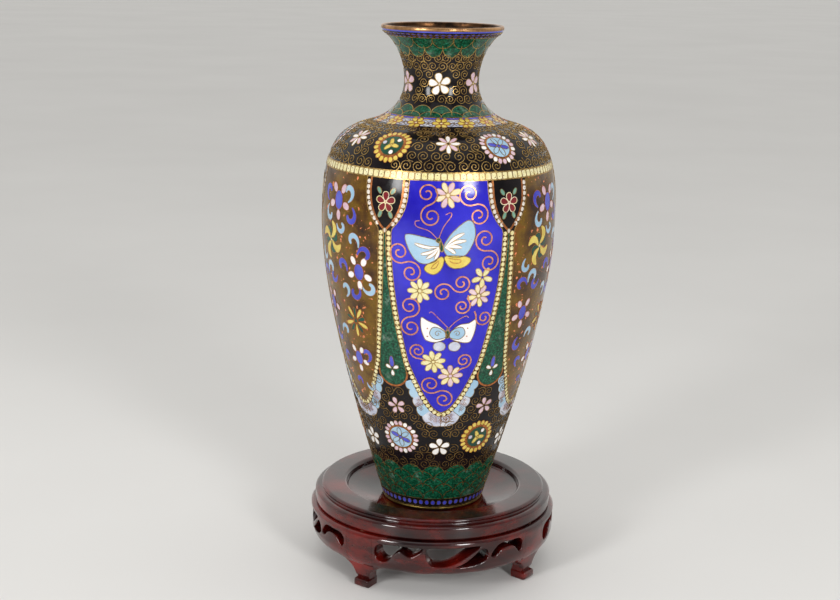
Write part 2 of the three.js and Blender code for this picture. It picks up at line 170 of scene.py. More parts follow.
def wall_xyz(azimuth, s, lift):
    """Points in metres at azimuths in radians, distances along the wall and lifts above it in mm."""
    azimuth, s, lift = np.broadcast_arrays(np.asarray(azimuth, float), s, lift)
    tangent_r = np.interp(s, LINE_S, LINE_T[:, 0])
    tangent_z = np.interp(s, LINE_S, LINE_T[:, 1])
    r = radius_at(s) + lift * tangent_z
    z = np.interp(s, LINE_S, LINE[:, 1]) - lift * tangent_r + VASE_BASE
    return np.stack([r * np.sin(azimuth), -r * np.cos(azimuth), z], -1) * MM


def height_at(s):
    """Height above the foot at a distance along the wall."""
    return np.interp(s, LINE_S, LINE[:, 1])


class WallLine:
    """A line drawn on the wall, as angles round it and distances along it."""

    def __init__(self, angles, s):
        self.angles = np.asarray(angles, float)
        self.s = np.asarray(s, float)

    def sideways(self, distance):
        """The line moved to its left, by one distance or by one for each of its points."""
        across = np.gradient(self.angles) * radius_at(self.s)
        up = np.gradient(self.s)
        step = np.maximum(np.hypot(across, up), 1e-9)
        return WallLine(self.angles - distance * up / step / radius_at(self.s),
                        self.s + distance * across / step)

    def lengths(self):
        r = radius_at((self.s[1:] + self.s[:-1]) / 2)
        return np.concatenate([[0], np.cumsum(np.hypot(np.diff(self.angles) * r, np.diff(self.s)))])

    def at(self, wanted):
        lengths = self.lengths()
        return WallLine(np.interp(wanted, lengths, self.angles), np.interp(wanted, lengths, self.s))

    def spots(self, spacing):
        """Evenly spaced spots that start and end half a space from the line's ends."""
        total = self.lengths()[-1]
        count = max(1, int(round(total / spacing)))
        line = self.at((np.arange(count) + 0.5) * total / count)
        return [Spot(math.degrees(a), float(height_at(s))) for a, s in zip(line.angles, line.s)]


def edge_line(azimuth, side, half_width, high, low, count=60):
    """One edge of a field from its top down; side is 1 to its right and -1 to its left."""
    heights = np.linspace(high, low, count)
    halves = np.array([half_width(h) for h in heights])
    return WallLine(np.radians(azimuth + side * halves), along(heights))


def round_point(azimuth, half_width, high, low, count=50):
    """The whole edge of a field that ends in a point: down its right side and up its left one."""
    heights = low + (high - low) * np.linspace(1, 0, count) ** 2
    halves = np.array([half_width(h) for h in heights])
    angles = np.concatenate([halves, -halves[-2::-1]])
    return WallLine(np.radians(azimuth + angles), along(np.concatenate([heights, heights[-2::-1]])))


def even_steps(low, high, pitch):
    """Evenly spaced values from low to high, no further apart than the pitch."""
    count = max(2, int(math.ceil((high - low) / pitch)) + 1)
    return np.linspace(low, high, count)


# ---------------------------------------------------------------- half-widths of the fields
def lobe_edge(height):
    round_top = LOBE_BOTTOM + LOBE_ROUND
    if height < round_top:
        drop = min(max((round_top - height) / LOBE_ROUND, 0), 1)
        return LOBE_WIDE * math.sqrt(1 - drop * drop)
    share = min(max((SHIELD_TIP - height) / (SHIELD_TIP - round_top), 0), 1)
    return LOBE_NARROW + (LOBE_WIDE - LOBE_NARROW) * share ** 2.1


def shield_edge(height):
    share = min(max((height - SHIELD_TIP) / (PANEL_TOP - SHIELD_TIP), 0), 1)
    return LOBE_NARROW + (SHIELD_HALF - LOBE_NARROW) * (1 - (1 - share) ** 3)


def panel_edge(height):
    if height >= SHIELD_TIP:
        return PITCH / 2 - BEAD_BORDER - shield_edge(height)
    taper_top = LOBE_BOTTOM + 2 * LOBE_ROUND
    beside_lobe = PITCH / 2 - BEAD_BORDER - lobe_edge(max(height, taper_top))
    if height >= taper_top:
        return beside_lobe
    share = max(height - PANEL_TIP, 0) / (taper_top - PANEL_TIP)
    return beside_lobe * share ** PANEL_TAPER


# ---------------------------------------------------------------- builder of enamel work
class Spot:
    """A place on the wall that a flat motif is laid at: x to the right and y up, in mm."""

    def __init__(self, azimuth, height, turn=0.0):
        self.azimuth = math.radians(azimuth)
        self.s = float(along(height))
        self.turn = math.radians(turn)

    def xyz(self, flat, lift):
        flat = np.asarray(flat, float)
        c, n = math.cos(self.turn), math.sin(self.turn)
        x = flat[:, 0] * c - flat[:, 1] * n
        s = self.s + flat[:, 0] * n + flat[:, 1] * c
        return wall_xyz(self.azimuth + x / radius_at(s), s, lift)


class Piece:
    """One visual piece: closed grounds, cells and wires, each with its own material."""

    def __init__(self, name):
        self.name = name
        self.points, self.faces, self.slots, self.materials = [], [], [], []
        self.count = 0

    def add(self, xyz, faces, material):
        if material not in self.materials:
            self.materials.append(material)
        slot = self.materials.index(material)
        start = self.count
        self.points.append(np.asarray(xyz, float))
        self.count += len(xyz)
        self.faces += [[start + i for i in face] for face in faces]
        self.slots += [slot] * len(faces)

    def cell(self, spot, outline, material, lift=CELL, centre=None):
        """A filled cell whose outline can be seen whole from its centre."""
        flat = np.asarray(outline, float)
        x, y = flat[:, 0], flat[:, 1]
        if np.sum(x * np.roll(y, -1) - y * np.roll(x, -1)) < 0:
            flat = flat[::-1]
        middle = flat.mean(axis=0) if centre is None else np.asarray(centre, float)
        reach = np.abs(flat - middle).max()
        rings = max(1, int(math.ceil(reach / 2.6)))
        n = len(flat)
        levels = [middle + (flat - middle) * k / rings for k in range(rings, 0, -1)]
        top = np.vstack(levels + [middle[None]])
        xyz = np.vstack([spot.xyz(top, lift), spot.xyz(flat, -0.3)])
        faces = []
        for k in range(rings - 1):
            for i in range(n):
                j = (i + 1) % n
                faces.append((k * n + i, k * n + j, (k + 1) * n + j, (k + 1) * n + i))
        last, tip, low = (rings - 1) * n, rings * n, rings * n + 1
        for i in range(n):
            j = (i + 1) % n
            faces.append((last + i, last + j, tip))
            faces.append((low + i, low + j, j, i))
        faces.append(tuple(low + i for i in reversed(range(n))))
        self.add(xyz, faces, material)

    def stroke(self, spot, path, widths, material, lift=WIRE, closed=False):
        """A strip along a path: a wire if its width is even, a leaf if it swells."""
        path = np.asarray(path, float)
        if closed:
            tangent = np.roll(path, -1, axis=0) - np.roll(path, 1, axis=0)
        else:
            tangent = np.gradient(path, axis=0)
        tangent /= np.maximum(np.linalg.norm(tangent, axis=1), 1e-9)[:, None]
        half = (np.broadcast_to(widths, len(path)) / 2)[:, None]
        side = np.stack([-tangent[:, 1], tangent[:, 0]], -1) * half
        self.strip([spot.xyz(path + side, lift), spot.xyz(path - side, lift),
                    spot.xyz(path - side, -0.3), spot.xyz(path + side, -0.3)], material, closed)

    def ribbon(self, left, right, material, lift=WIRE):
        """A strip of the wall between two lines on it."""
        self.strip([wall_xyz(left.angles, left.s, lift), wall_xyz(right.angles, right.s, lift),
                    wall_xyz(right.angles, right.s, -0.3), wall_xyz(left.angles, left.s, -0.3)], material)

    def wire(self, line, width, material, lift=WIRE):
        self.ribbon(line.sideways(width / 2), line.sideways(-width / 2), material, lift)

    def strip(self, edges, material, closed=False):
        """A solid strip from its four long edges."""
        n = len(edges[0])
        faces = []
        for i in range(n if closed else n - 1):
            j = (i + 1) % n
            for a in range(4):
                b = (a + 1) % 4
                faces.append((a * n + i, b * n + i, b * n + j, a * n + j))
        if not closed:
            faces.append((0, 3 * n, 2 * n, n))
            faces.append((n - 1, 2 * n - 1, 3 * n - 1, 4 * n - 1))
        self.add(np.vstack(edges), faces, material)

    def outlined(self, spot, outline, fill, wire, width=0.35, lift=CELL):
        """A filled cell with a wire round it."""
        self.cell(spot, outline, fill, lift)
        self.stroke(spot, outline, width, wire, lift + 0.08, closed=True)

    def ground(self, low, high, material, azimuths=None, edge=None, lift=0.0, pitch=2.2):
        """A layer of the wall between two heights: a full ring, or a patch with a half-width."""
        stations = even_steps(float(along(low)), float(along(high)), pitch)
        heights = height_at(stations)
        full = edge is None
        columns = 180 if full else 28
        if full:
            angles = np.broadcast_to(np.linspace(0, 2 * math.pi, columns, endpoint=False),
                                     (len(stations), columns))
        else:
            half = np.array([max(edge(h), 0.02) for h in heights])
            angles = np.radians(azimuths + np.linspace(-1, 1, columns)[None] * half[:, None])
        rows = len(stations)
        s = np.repeat(stations, columns)
        outer = wall_xyz(angles.ravel(), s, lift)
        inner = wall_xyz(angles.ravel(), s, -WALL_DEPTH)
        at = lambda layer, row, column: layer * rows * columns + row * columns + column % columns
        faces = []
        for row in range(rows - 1):
            for column in range(columns if full else columns - 1):
                a, b = at(0, row, column), at(0, row, column + 1)
                c, d = at(0, row + 1, column + 1), at(0, row + 1, column)
                shift = rows * columns
                faces += [(a, b, c, d), (d + shift, c + shift, b + shift, a + shift)]
            if not full:
                e = columns - 1
                faces.append((at(0, row, 0), at(0, row + 1, 0), at(1, row + 1, 0), at(1, row, 0)))
                faces.append((at(1, row, e), at(1, row + 1, e), at(0, row + 1, e), at(0, row, e)))
        for column in range(columns if full else columns - 1):
            last = rows - 1
            faces.append((at(1, 0, column), at(1, 0, column + 1), at(0, 0, column + 1), at(0, 0, column)))
            faces.append((at(0, last, column), at(0, last, column + 1), at(1, last, column + 1),
                          at(1, last, column)))
        self.add(np.vstack([outer, inner]), faces, material)

    def ring_wire(self, height, width, material, lift=WIRE):
        """A wire all the way round at one height."""
        r = float(radius_at(along(height)))
        angles = np.linspace(0, 2 * math.pi, 200, endpoint=False)
        spot = Spot(0, height)
        self.stroke(spot, np.stack([angles * r, np.zeros(200)], -1), width, material, lift, closed=True)

    def build(self, body, *nodes, slot=None):
        mesh = bpy.data.meshes.new(self.name)
        mesh.from_pydata(np.vstack(self.points).tolist(), [], self.faces)
        for material in self.materials:
            mesh.materials.append(material)
        mesh.polygons.foreach_set("material_index", self.slots)
        return finish_mesh(mesh, self.name, body, nodes)


def finish_mesh(mesh, name, body, nodes, sharp=35):
    mesh.polygons.foreach_set("use_smooth", [True] * len(mesh.polygons))
    mesh.set_sharp_from_angle(angle=math.radians(sharp))
    mesh.update()
    piece = bpy.data.objects.new(name, mesh)
    bpy.context.scene.collection.objects.link(piece)
    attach(piece, body)
    if nodes:
        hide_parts(*nodes)
    return piece


# ---------------------------------------------------------------- flat shapes, in mm
def disc(radius, count=14, x=0.0, y=0.0, squash=1.0):
    a = np.linspace(0, 2 * math.pi, count, endpoint=False)
    return np.stack([x + radius * np.cos(a), y + squash * radius * np.sin(a)], -1)


def petal(inner, outer, width, point=0.6, angle=0.0, count=14):
    """A teardrop from an inner to an outer radius; a low point makes it blunt."""
    t = np.linspace(0, 2 * math.pi, count, endpoint=False)
    y = inner + (outer - inner) * (1 - np.cos(t)) / 2
    x = width / 2 * np.sin(t) * np.maximum(np.abs(np.sin(t / 2)), 1e-3) ** point
    return turn(np.stack([x, y], -1), angle)


def tile(width, height, corner=0.45, count=16):
    """A square cell with rounded corners."""
    a = np.linspace(0, 2 * math.pi, count, endpoint=False) + math.pi / count
    c, n = np.cos(a), np.sin(a)
    return np.stack([width / 2 * np.sign(c) * np.abs(c) ** corner,
                     height / 2 * np.sign(n) * np.abs(n) ** corner], -1)


def turn(flat, degrees, x=0.0, y=0.0):
    a = math.radians(degrees)
    c, s = math.cos(a), math.sin(a)
    flat = np.asarray(flat, float)
    return np.stack([flat[:, 0] * c - flat[:, 1] * s + x, flat[:, 0] * s + flat[:, 1] * c + y], -1)


def spiral(radius, turns, start, hand=1, tail=0.0, steps=26, inner=0.16):
    """A scroll that unwinds from its middle, with a tail that leaves it straight."""
    t = np.linspace(0, 1, steps)
    a = math.radians(start) + hand * 2 * math.pi * turns * t
    r = radius * (inner + (1 - inner) * t)
    path = np.stack([r * np.cos(a), r * np.sin(a)], -1)
    if tail:
        direction = path[-1] - path[-2]
        direction /= np.linalg.norm(direction)
        outward = path[-1] / np.linalg.norm(path[-1])
        extra = [path[-1] + tail * k * direction + 0.35 * tail * k * k * outward for k in (0.35, 0.7, 1.0)]
        path = np.vstack([path, extra])
    return path


def smooth_path(points, steps=6, closed=False):
    """A Catmull-Rom curve through a few points."""
    p = np.asarray(points, float)
    if closed:
        p = np.vstack([p[-1], p, p[:2]])
    else:
        p = np.vstack([2 * p[0] - p[1], p, 2 * p[-1] - p[-2]])
    out = []
    for i in range(1, len(p) - 2):
        for t in np.linspace(0, 1, steps, endpoint=False):
            out.append(0.5 * (2 * p[i] + (p[i + 1] - p[i - 1]) * t
                              + (2 * p[i - 1] - 5 * p[i] + 4 * p[i + 1] - p[i + 2]) * t * t
                              + (3 * p[i] - p[i - 1] - 3 * p[i + 1] + p[i + 2]) * t ** 3))
    if not closed:
        out.append(p[-2])
    return np.array(out)


# ---------------------------------------------------------------- materials
def linear(red, green, blue):
    """A colour given in 0 to 255 as a screen shows it, made linear."""
    def channel(v):
        v /= 255.0
        return v / 12.92 if v <= 0.04045 else ((v + 0.055) / 1.055) ** 2.4
    return (channel(red), channel(green), channel(blue), 1.0)


class Shader:
    """A node-based material that starts from a principled shader."""

    def __init__(self, name, roughness=0.12, metallic=0.0, coat=0.0, specular=0.5):
        self.material = bpy.data.materials.new(name)
        self.material.use_nodes = True
        self.nodes = self.material.node_tree.nodes
        self.links = self.material.node_tree.links
        self.shader = self.nodes["Principled BSDF"]
        self.shader.inputs["Roughness"].default_value = roughness
        self.shader.inputs["Metallic"].default_value = metallic
        self.shader.inputs["Coat Weight"].default_value = coat
        self.shader.inputs["Coat Roughness"].default_value = 0.05
        self.shader.inputs["Specular IOR Level"].default_value = specular
        self.place = self.nodes.new("ShaderNodeTexCoord").outputs["Object"]

    def link(self, a, b):
        self.links.new(a, b)

    def noise(self, scale, detail=3.0, rough=0.55, stretch=None):
        node = self.nodes.new("ShaderNodeTexNoise")
        node.inputs["Scale"].default_value = scale
        node.inputs["Detail"].default_value = detail
        node.inputs["Roughness"].default_value = rough
        source = self.place
        if stretch:
            mapping = self.nodes.new("ShaderNodeMapping")
            mapping.inputs["Scale"].default_value = stretch
            self.link(source, mapping.inputs["Vector"])
            source = mapping.outputs["Vector"]
        self.link(source, node.inputs["Vector"])
        return node.outputs["Fac"]

    def cells(self, scale, output="Distance", randomness=1.0):
        node = self.nodes.new("ShaderNodeTexVoronoi")
        node.inputs["Scale"].default_value = scale
        node.inputs["Randomness"].default_value = randomness
        self.link(self.place, node.inputs["Vector"])
        return node.outputs[output]

    def ramp(self, value, stops):
        node = self.nodes.new("ShaderNodeValToRGB")
        ramp = node.color_ramp
        while len(ramp.elements) < len(stops):
            ramp.elements.new(0.5)
        for element, (position, colour) in zip(ramp.elements, stops):
            element.position = position
            element.color = colour if hasattr(colour, "__len__") else (colour, colour, colour, 1)
        self.link(value, node.inputs["Fac"])
        return node.outputs["Color"]

    def mix(self, factor, a, b, blend="MIX"):
        node = self.nodes.new("ShaderNodeMix")
        node.data_type = "RGBA"
        node.blend_type = blend
        for value, key in ((factor, 0), (a, 6), (b, 7)):
            if hasattr(value, "is_linked"):
                self.link(value, node.inputs[key])
            else:
                node.inputs[key].default_value = value
        return node.outputs[2]

    def math(self, operation, a, b=0.0):
        node = self.nodes.new("ShaderNodeMath")
        node.operation = operation
        for value, key in ((a, 0), (b, 1)):
            if hasattr(value, "is_linked"):
                self.link(value, node.inputs[key])
            else:
                node.inputs[key].default_value = value
        return node.outputs[0]

    def colour(self, value):
        self.link(value, self.shader.inputs["Base Color"])

    def rough(self, value):
        self.link(value, self.shader.inputs["Roughness"])

    def bump(self, value, strength, distance=0.0002):
        node = self.nodes.new("ShaderNodeBump")
        node.inputs["Strength"].default_value = strength
        node.inputs["Distance"].default_value = distance
        self.link(value, node.inputs["Height"])
        self.link(node.outputs["Normal"], self.shader.inputs["Normal"])


def enamel(name, main, cloud, scale=70, pits=0.35, grain=0.5, rough=(0.08, 0.2), specular=0.4):
    """Polished enamel: clouds of a second shade, fine grain, a few dark pits and a faint bumpy surface."""
    shade = Shader(name, specular=specular)
    clouds = shade.ramp(shade.noise(scale, 4), [(0.36, linear(*main)), (0.68, linear(*cloud))])
    fine = shade.noise(2600, 2)
    grained = shade.mix(grain, clouds, shade.ramp(fine, [(0.3, 0.55), (0.7, 1.0)]), "MULTIPLY")
    pit = shade.math("LESS_THAN", shade.cells(620), 0.085)
    chosen = shade.math("GREATER_THAN", shade.noise(260, 1), 1 - pits)
    pitted = shade.mix(shade.math("MULTIPLY", pit, chosen), grained, linear(45, 30, 22))
    shade.colour(pitted)
    shade.rough(shade.ramp(shade.noise(420, 4), [(0.3, rough[0]), (0.75, rough[1])]))
    shade.bump(shade.noise(210, 3), 0.05)
    return shade.material


def foil_green():
    """Translucent green over foil: mottled, with light sparks and whitish bloom."""
    shade = Shader("green_enamel", specular=0.35)
    body = shade.ramp(shade.noise(1000, 5, 0.75), [
        (0.34, linear(3, 26, 16)), (0.5, linear(8, 62, 40)), (0.66, linear(34, 112, 82))])
    spark = shade.ramp(shade.cells(1500), [(0.0, 1.0), (0.16, 0.0)])
    picked = shade.math("MULTIPLY", spark, shade.math("GREATER_THAN", shade.noise(800, 1), 0.6))
    sparkled = shade.mix(picked, body, linear(120, 180, 140))
    bloom = shade.ramp(shade.noise(120, 5, 0.75), [(0.57, 0.0), (0.72, 0.45)])
    shade.colour(shade.mix(bloom, sparkled, linear(150, 165, 150)))
    shade.rough(shade.ramp(shade.noise(300, 4), [(0.3, 0.08), (0.75, 0.2)]))
    shade.bump(shade.noise(240, 3), 0.05)
    return shade.material


def goldstone():
    """Olive-brown glass full of copper flecks."""
    shade = Shader("goldstone_enamel", specular=0.35)
    body = shade.ramp(shade.noise(75, 4, 0.6), [
        (0.3, linear(46, 24, 6)), (0.44, linear(84, 54, 5)), (0.58, linear(112, 82, 8)),
        (0.74, linear(118, 52, 12))])
    grained = shade.mix(0.6, body, shade.ramp(shade.noise(2200, 2), [(0.3, 0.55), (0.7, 1.15)]), "MULTIPLY")
    fleck = shade.math("LESS_THAN", shade.cells(380), 0.34)
    picked = shade.math("GREATER_THAN", shade.noise(300, 2), 0.6)
    sparks = shade.math("MULTIPLY", fleck, picked)
    fine = shade.math("MULTIPLY", shade.math("LESS_THAN", shade.cells(1100), 0.22),
                      shade.math("GREATER_THAN", shade.noise(500, 1), 0.66))
    shade.colour(shade.mix(shade.math("MAXIMUM", sparks, fine), grained, linear(226, 130, 84)))
    shade.rough(shade.ramp(shade.noise(300, 4), [(0.3, 0.08), (0.75, 0.2)]))
    shade.bump(shade.noise(240, 3), 0.05)
    return shade.material


def wire_metal(name, main, dark, rough=0.32):
    """Worn wire: warm metal, darker and duller in patches."""
    shade = Shader(name, rough, 0.85)
    shade.colour(shade.ramp(shade.noise(700, 3), [(0.35, linear(*dark)), (0.62, linear(*main))]))
    shade.rough(shade.ramp(shade.noise(500, 3), [(0.3, rough - 0.08), (0.7, rough + 0.15)]))
    return shade.material


def worn_brass(name, main, stain):
    """Handled brass: stains, a dull film and fine turning marks."""
    shade = Shader(name, 0.3, 1.0)
    film = shade.noise(130, 5, 0.65)
    shade.colour(shade.ramp(film, [(0.34, linear(*stain)), (0.6, linear(*main))]))
    marks = shade.noise(120, 3, 0.6, stretch=(1, 1, 30))
    shade.rough(shade.ramp(film, [(0.3, 0.5), (0.65, 0.24)]))
    shade.bump(marks, 0.12)
    return shade.material


def lacquer():
    """Dark red gloss lacquer over turned and carved wood, blotchy and near black in patches."""
    shade = Shader("lacquered_wood", 0.12, 0.0, 0.25, 0.42)
    grain = shade.noise(34, 5, 0.6, stretch=(1, 1, 2.5))
    body = shade.ramp(grain, [(0.34, linear(18, 4, 5)), (0.5, linear(60, 9, 6)), (0.68, linear(116, 18, 9))])
    blot = shade.ramp(shade.noise(90, 4), [(0.35, 0.45), (0.65, 1.0)])
    shade.colour(shade.mix(0.8, body, blot, "MULTIPLY"))
    shade.rough(shade.ramp(shade.noise(160, 4), [(0.3, 0.08), (0.75, 0.2)]))
    shade.bump(shade.noise(170, 4, 0.6), 0.12, 0.0004)
    return shade.material


def plain_wood():
    shade = Shader("bare_wood", 0.6)
    shade.colour(shade.ramp(shade.noise(60, 5, 0.6, stretch=(1, 1, 0.12)), [
        (0.3, linear(66, 34, 20)), (0.7, linear(98, 54, 32))]))
    shade.bump(shade.noise(300, 3), 0.2)
    return shade.material


def spun_copper():
    shade = Shader("copper", 0.35, 1.0)
    shade.colour(shade.ramp(shade.noise(60, 4), [(0.3, linear(120, 66, 40)), (0.7, linear(200, 122, 84))]))
    shade.bump(shade.noise(90, 3, stretch=(1, 1, 20)), 0.15)
    return shade.material


black = enamel("black_enamel", (13, 10, 12), (27, 20, 22), grain=0.4, specular=0.22)
green = foil_green()
blue = enamel("blue_enamel", (24, 14, 158), (50, 46, 196), scale=36, pits=0.2, grain=0.3)
brown = goldstone()
cell_blue = enamel("cell_blue", (58, 62, 176), (92, 98, 200), grain=0.4)
light_blue = enamel("light_blue", (146, 182, 206), (172, 198, 216), grain=0.3)
lavender = enamel("lavender", (176, 180, 200), (212, 214, 220), scale=200, grain=0.4)
cream = enamel("cream_enamel", (226, 214, 148), (236, 228, 184), scale=260, pits=0.5, rough=(0.2, 0.4))
bead_white = enamel("bead_white", (214, 204, 190), (238, 232, 222), scale=260, pits=0.5)
white = enamel("white_enamel", (232, 228, 224), (244, 242, 238), scale=160, pits=0.4, grain=0.3)
pink = enamel("pink_enamel", (206, 172, 186), (224, 200, 206), scale=160, pits=0.4, grain=0.3)
petal_cream = enamel("petal_cream", (232, 212, 186), (236, 226, 160), scale=160, pits=0.4)
yellow = enamel("yellow_enamel", (214, 186, 78), (228, 208, 108), scale=160, pits=0.3)
red = enamel("red_enamel", (112, 30, 36), (138, 44, 50), grain=0.5)
leaf = enamel("leaf_enamel", (104, 148, 128), (128, 168, 146), grain=0.5)
dark_green = enamel("dark_green_enamel", (10, 58, 44), (20, 84, 60), grain=0.5)
turquoise = enamel("turquoise_enamel", (112, 184, 174), (160, 214, 200), scale=260, rough=(0.2, 0.45))
pit_wire = wire_metal("pit_wire", (176, 120, 92), (122, 80, 62))
pit_red = enamel("pit_red", (88, 26, 20), (60, 20, 18))
bead_wire = wire_metal("bead_wire", (168, 128, 72), (104, 72, 40))
gold_wire = wire_metal("gold_wire", (200, 164, 96), (128, 98, 52))
fine_wire = wire_metal("fine_wire", (158, 126, 74), (96, 72, 40))
copper_wire = wire_metal("copper_wire", (232, 160, 118), (194, 120, 84))
orange_wire = wire_metal("orange_wire", (194, 120, 70), (148, 88, 48))
rim_stain = worn_brass("rim_stain", (92, 62, 38), (28, 18, 12))
rim_brass = worn_brass("rim_brass", (190, 146, 100), (112, 80, 54))
foot_brass = worn_brass("foot_brass", (166, 140, 74), (92, 74, 36))
wood = lacquer()
bare_wood = plain_wood()
copper_sheet = spun_copper()


# ---------------------------------------------------------------- motifs
def flower(piece, spot, petals, inner, outer, width, fills, wire, point=0.6, heart=None, start=0.0):
    """Petals round a heart; fills are used in turn."""
    for i in range(petals):
        shape = petal(inner, outer, width, point, start + i * 360 / petals)
        piece.outlined(spot, shape, fills[i % len(fills)], wire, 0.3)
    if heart:
        piece.outlined(spot, disc(max(inner, 0.7), 10), heart, wire, 0.28, DETAIL)


def scroll(piece, spot, radius, start, hand):
    piece.stroke(spot, spiral(radius, 1.7, start, hand, 2.5), SCROLL_WIDTH, copper_wire)


def s_scroll(piece, spot, away, hand):
    """Two scrolls of one wire that winds out of the first and into the second."""
    away = np.array(away, float)
    reach = np.linalg.norm(away) / 2
    turns = 1.6
    out = spiral(reach, turns, math.degrees(math.atan2(away[1], away[0])) - hand * 360 * turns, hand,
                 steps=34)
    piece.stroke(spot, np.vstack([out, (away - out)[-2::-1]]), SCROLL_WIDTH, copper_wire)


def comma(piece, spot, size, angle, hand, fill):
    """A comma leaf: a thin tail at the spot that swells, then hooks over at its head."""
    t = np.linspace(0, 1, 18)
    heading = np.radians(90 - hand * (-24 + 236 * t ** 1.6))
    path = np.cumsum(np.stack([np.cos(heading), np.sin(heading)], -1), axis=0) * (2.15 * size / len(t))
    widths = 0.24 + 0.36 * size * np.sin(math.pi * np.clip(0.04 + 0.86 * t ** 1.25, 0, 1)) ** 0.85
    path = turn(path, angle)
    piece.stroke(spot, path, widths + 0.45, orange_wire, CELL)
    piece.stroke(spot, path, widths, fill, DETAIL)


def bead(piece, spot, fill, size=1.17):
    """A round cell of the borders; some have a burnt pit."""
    size *= rng.uniform(0.95, 1.03)
    piece.outlined(spot, disc(size, 10), fill, bead_wire, 0.22)
    if rng.random() < 0.55:
        angle = rng.uniform(0, 360)
        piece.cell(spot, turn(disc(rng.uniform(0.16, 0.3), 6), angle, *turn([(0, 0.42)], angle)[0]),
                   pit_red, DETAIL)


def spirals_over(piece, low, high, pitch, wire, width, keep_out):
    """A ground of small scrolls in staggered rows, leaving room for the motifs."""
    s_low, s_high = float(along(low)), float(along(high))
    rows = max(1, int(round((s_high - s_low) / (pitch * 0.93))))
    for row in range(rows):
        s = s_low + (row + 0.5) * (s_high - s_low) / rows
        height = float(height_at(s))
        r = float(radius_at(s))
        count = int(round(2 * math.pi * r / pitch))
        for i in range(count):
            jitter = rng.uniform(-0.25, 0.25) * math.degrees(pitch / r) * 0.5
            azimuth = 360.0 * (i + 0.5 * (row % 2)) / count + jitter
            start, hand = rng.uniform(0, 360), rng.choice((1, 1, 1, -1))
            size = pitch * rng.uniform(0.51, 0.57)
            if keep_out(azimuth, height, size):
                continue
            spot = Spot(azimuth, height)
            piece.stroke(spot, spiral(size, 1.75, start, hand, 0.6, 22, 0.13), width, wire)


def far_from(places):
    """A test that a scroll keeps clear of motifs given as (azimuth, height, radius)."""
    def test(azimuth, height, size):
        s = float(along(height))
        r = float(radius_at(s))
        for a, h, reach in places:
            x = math.radians((azimuth - a + 180) % 360 - 180) * r
            if math.hypot(x, s - float(along(h))) < reach + size * 0.55:
                return True
        return False
    return test


def scallop_row(piece, s, count, rise, fill, wire, up=True, offset=0.0, width=0.3, lift=CELL):
    """Half-round cells side by side at a distance along the wall, with their round edges up or down."""
    half = math.pi * float(radius_at(s)) / count
    t = np.linspace(0, math.pi, 15)
    outline = np.stack([half * np.cos(t), rise * np.sin(t) * (1 if up else -1)], -1)
    for i in range(count):
        spot = Spot((i + offset) * 360.0 / count, float(height_at(s)))
        piece.cell(spot, outline, fill, lift, centre=(0, rise * (0.4 if up else -0.4)))
        piece.stroke(spot, outline, width, wire, lift + 0.07)


# ---------------------------------------------------------------- the vase's zones
def foot_dots():
    piece = Piece("foot_dot_cells")
    piece.ground(FOOT_RING_TOP, DOTS_TOP, black)
    count, height = 56, 0.5 * (FOOT_RING_TOP + DOTS_TOP) + 0.4
    for i in range(count):
        piece.outlined(Spot(i * 360 / count, height), disc(1.08, 12, squash=1.25), cell_blue, fine_wire, 0.24)
    piece.ring_wire(FOOT_RING_TOP + 0.6, 0.3, fine_wire)
    piece.ring_wire(DOTS_TOP, 0.3, fine_wire)
    piece.build("vase", "foot_dot_band", slot="blue_enamel")


def foot_scales():
    piece = Piece("foot_scales")
    rows, count, rise = 5, 18, 5.6
    low, high = float(along(DOTS_TOP)), float(along(SCALES_TOP))
    step = (high - rise - low) / (rows - 1)
    piece.ground(DOTS_TOP, SCALES_TOP - rise * 0.55, green)
    for row in reversed(range(rows)):
        scallop_row(piece, low + row * step, count, rise, green, fine_wire, True, 0.5 * (row % 2), 0.32,
                    CELL + 0.03 * (rows - row))
    piece.build("vase", "foot_scale_band", slot="green_enamel")


def medallion(piece, spot, warm):
    """A round flower: a ring of small petals, an orange band and a field with a motif."""
    beads, reach = 20, 8.0
    fills = [yellow] if warm else [white, pink, pink]
    for i in range(beads):
        place = turn([(0, reach)], 360.0 * i / beads)[0]
        shape = turn(disc(1.18, 10, squash=1.25), 360.0 * i / beads, *place)
        piece.outlined(spot, shape, fills[i % len(fills)], orange_wire if warm else fine_wire, 0.28)
    piece.cell(spot, disc(6.9, 30), orange_wire, DETAIL)
    field = dark_green if warm else light_blue
    piece.outlined(spot, disc(5.7 if warm else 6.0, 28), field, fine_wire, 0.25, DETAIL + 0.05)
    top = DETAIL + 0.12
    if warm:
        for i in range(3):
            piece.outlined(spot, petal(-0.6, 4.2, 2.0, -0.1, 120 * i, 10), yellow, gold_wire, 0.25, top)
            away = turn([(0, 4.2)], 60 + 120 * i)[0]
            piece.outlined(spot, disc(1.2, 10, *away), white if i else lavender, fine_wire, 0.25, top)
    else:
        for i in range(6):
            fill = cell_blue if i % 3 == 0 else light_blue
            shape = petal(0.9, 5.4, 2.3, 0.0, 90 + 60 * i, 12)
            piece.outlined(spot, shape, fill, fine_wire, 0.26, top)
        piece.outlined(spot, disc(0.9, 10), cell_blue, fine_wire, 0.25, top + 0.05)


def motif_ring(low):
    """Places round the vase: medallions between panels and flowers under or over them."""
    places = []
    for i in range(PANELS):
        azimuth = FIRST_PANEL + i * PITCH
        places.append(("flower", azimuth, i))
        places.append(("medallion", azimuth + PITCH / 2, i if low else i + 1))
    return places


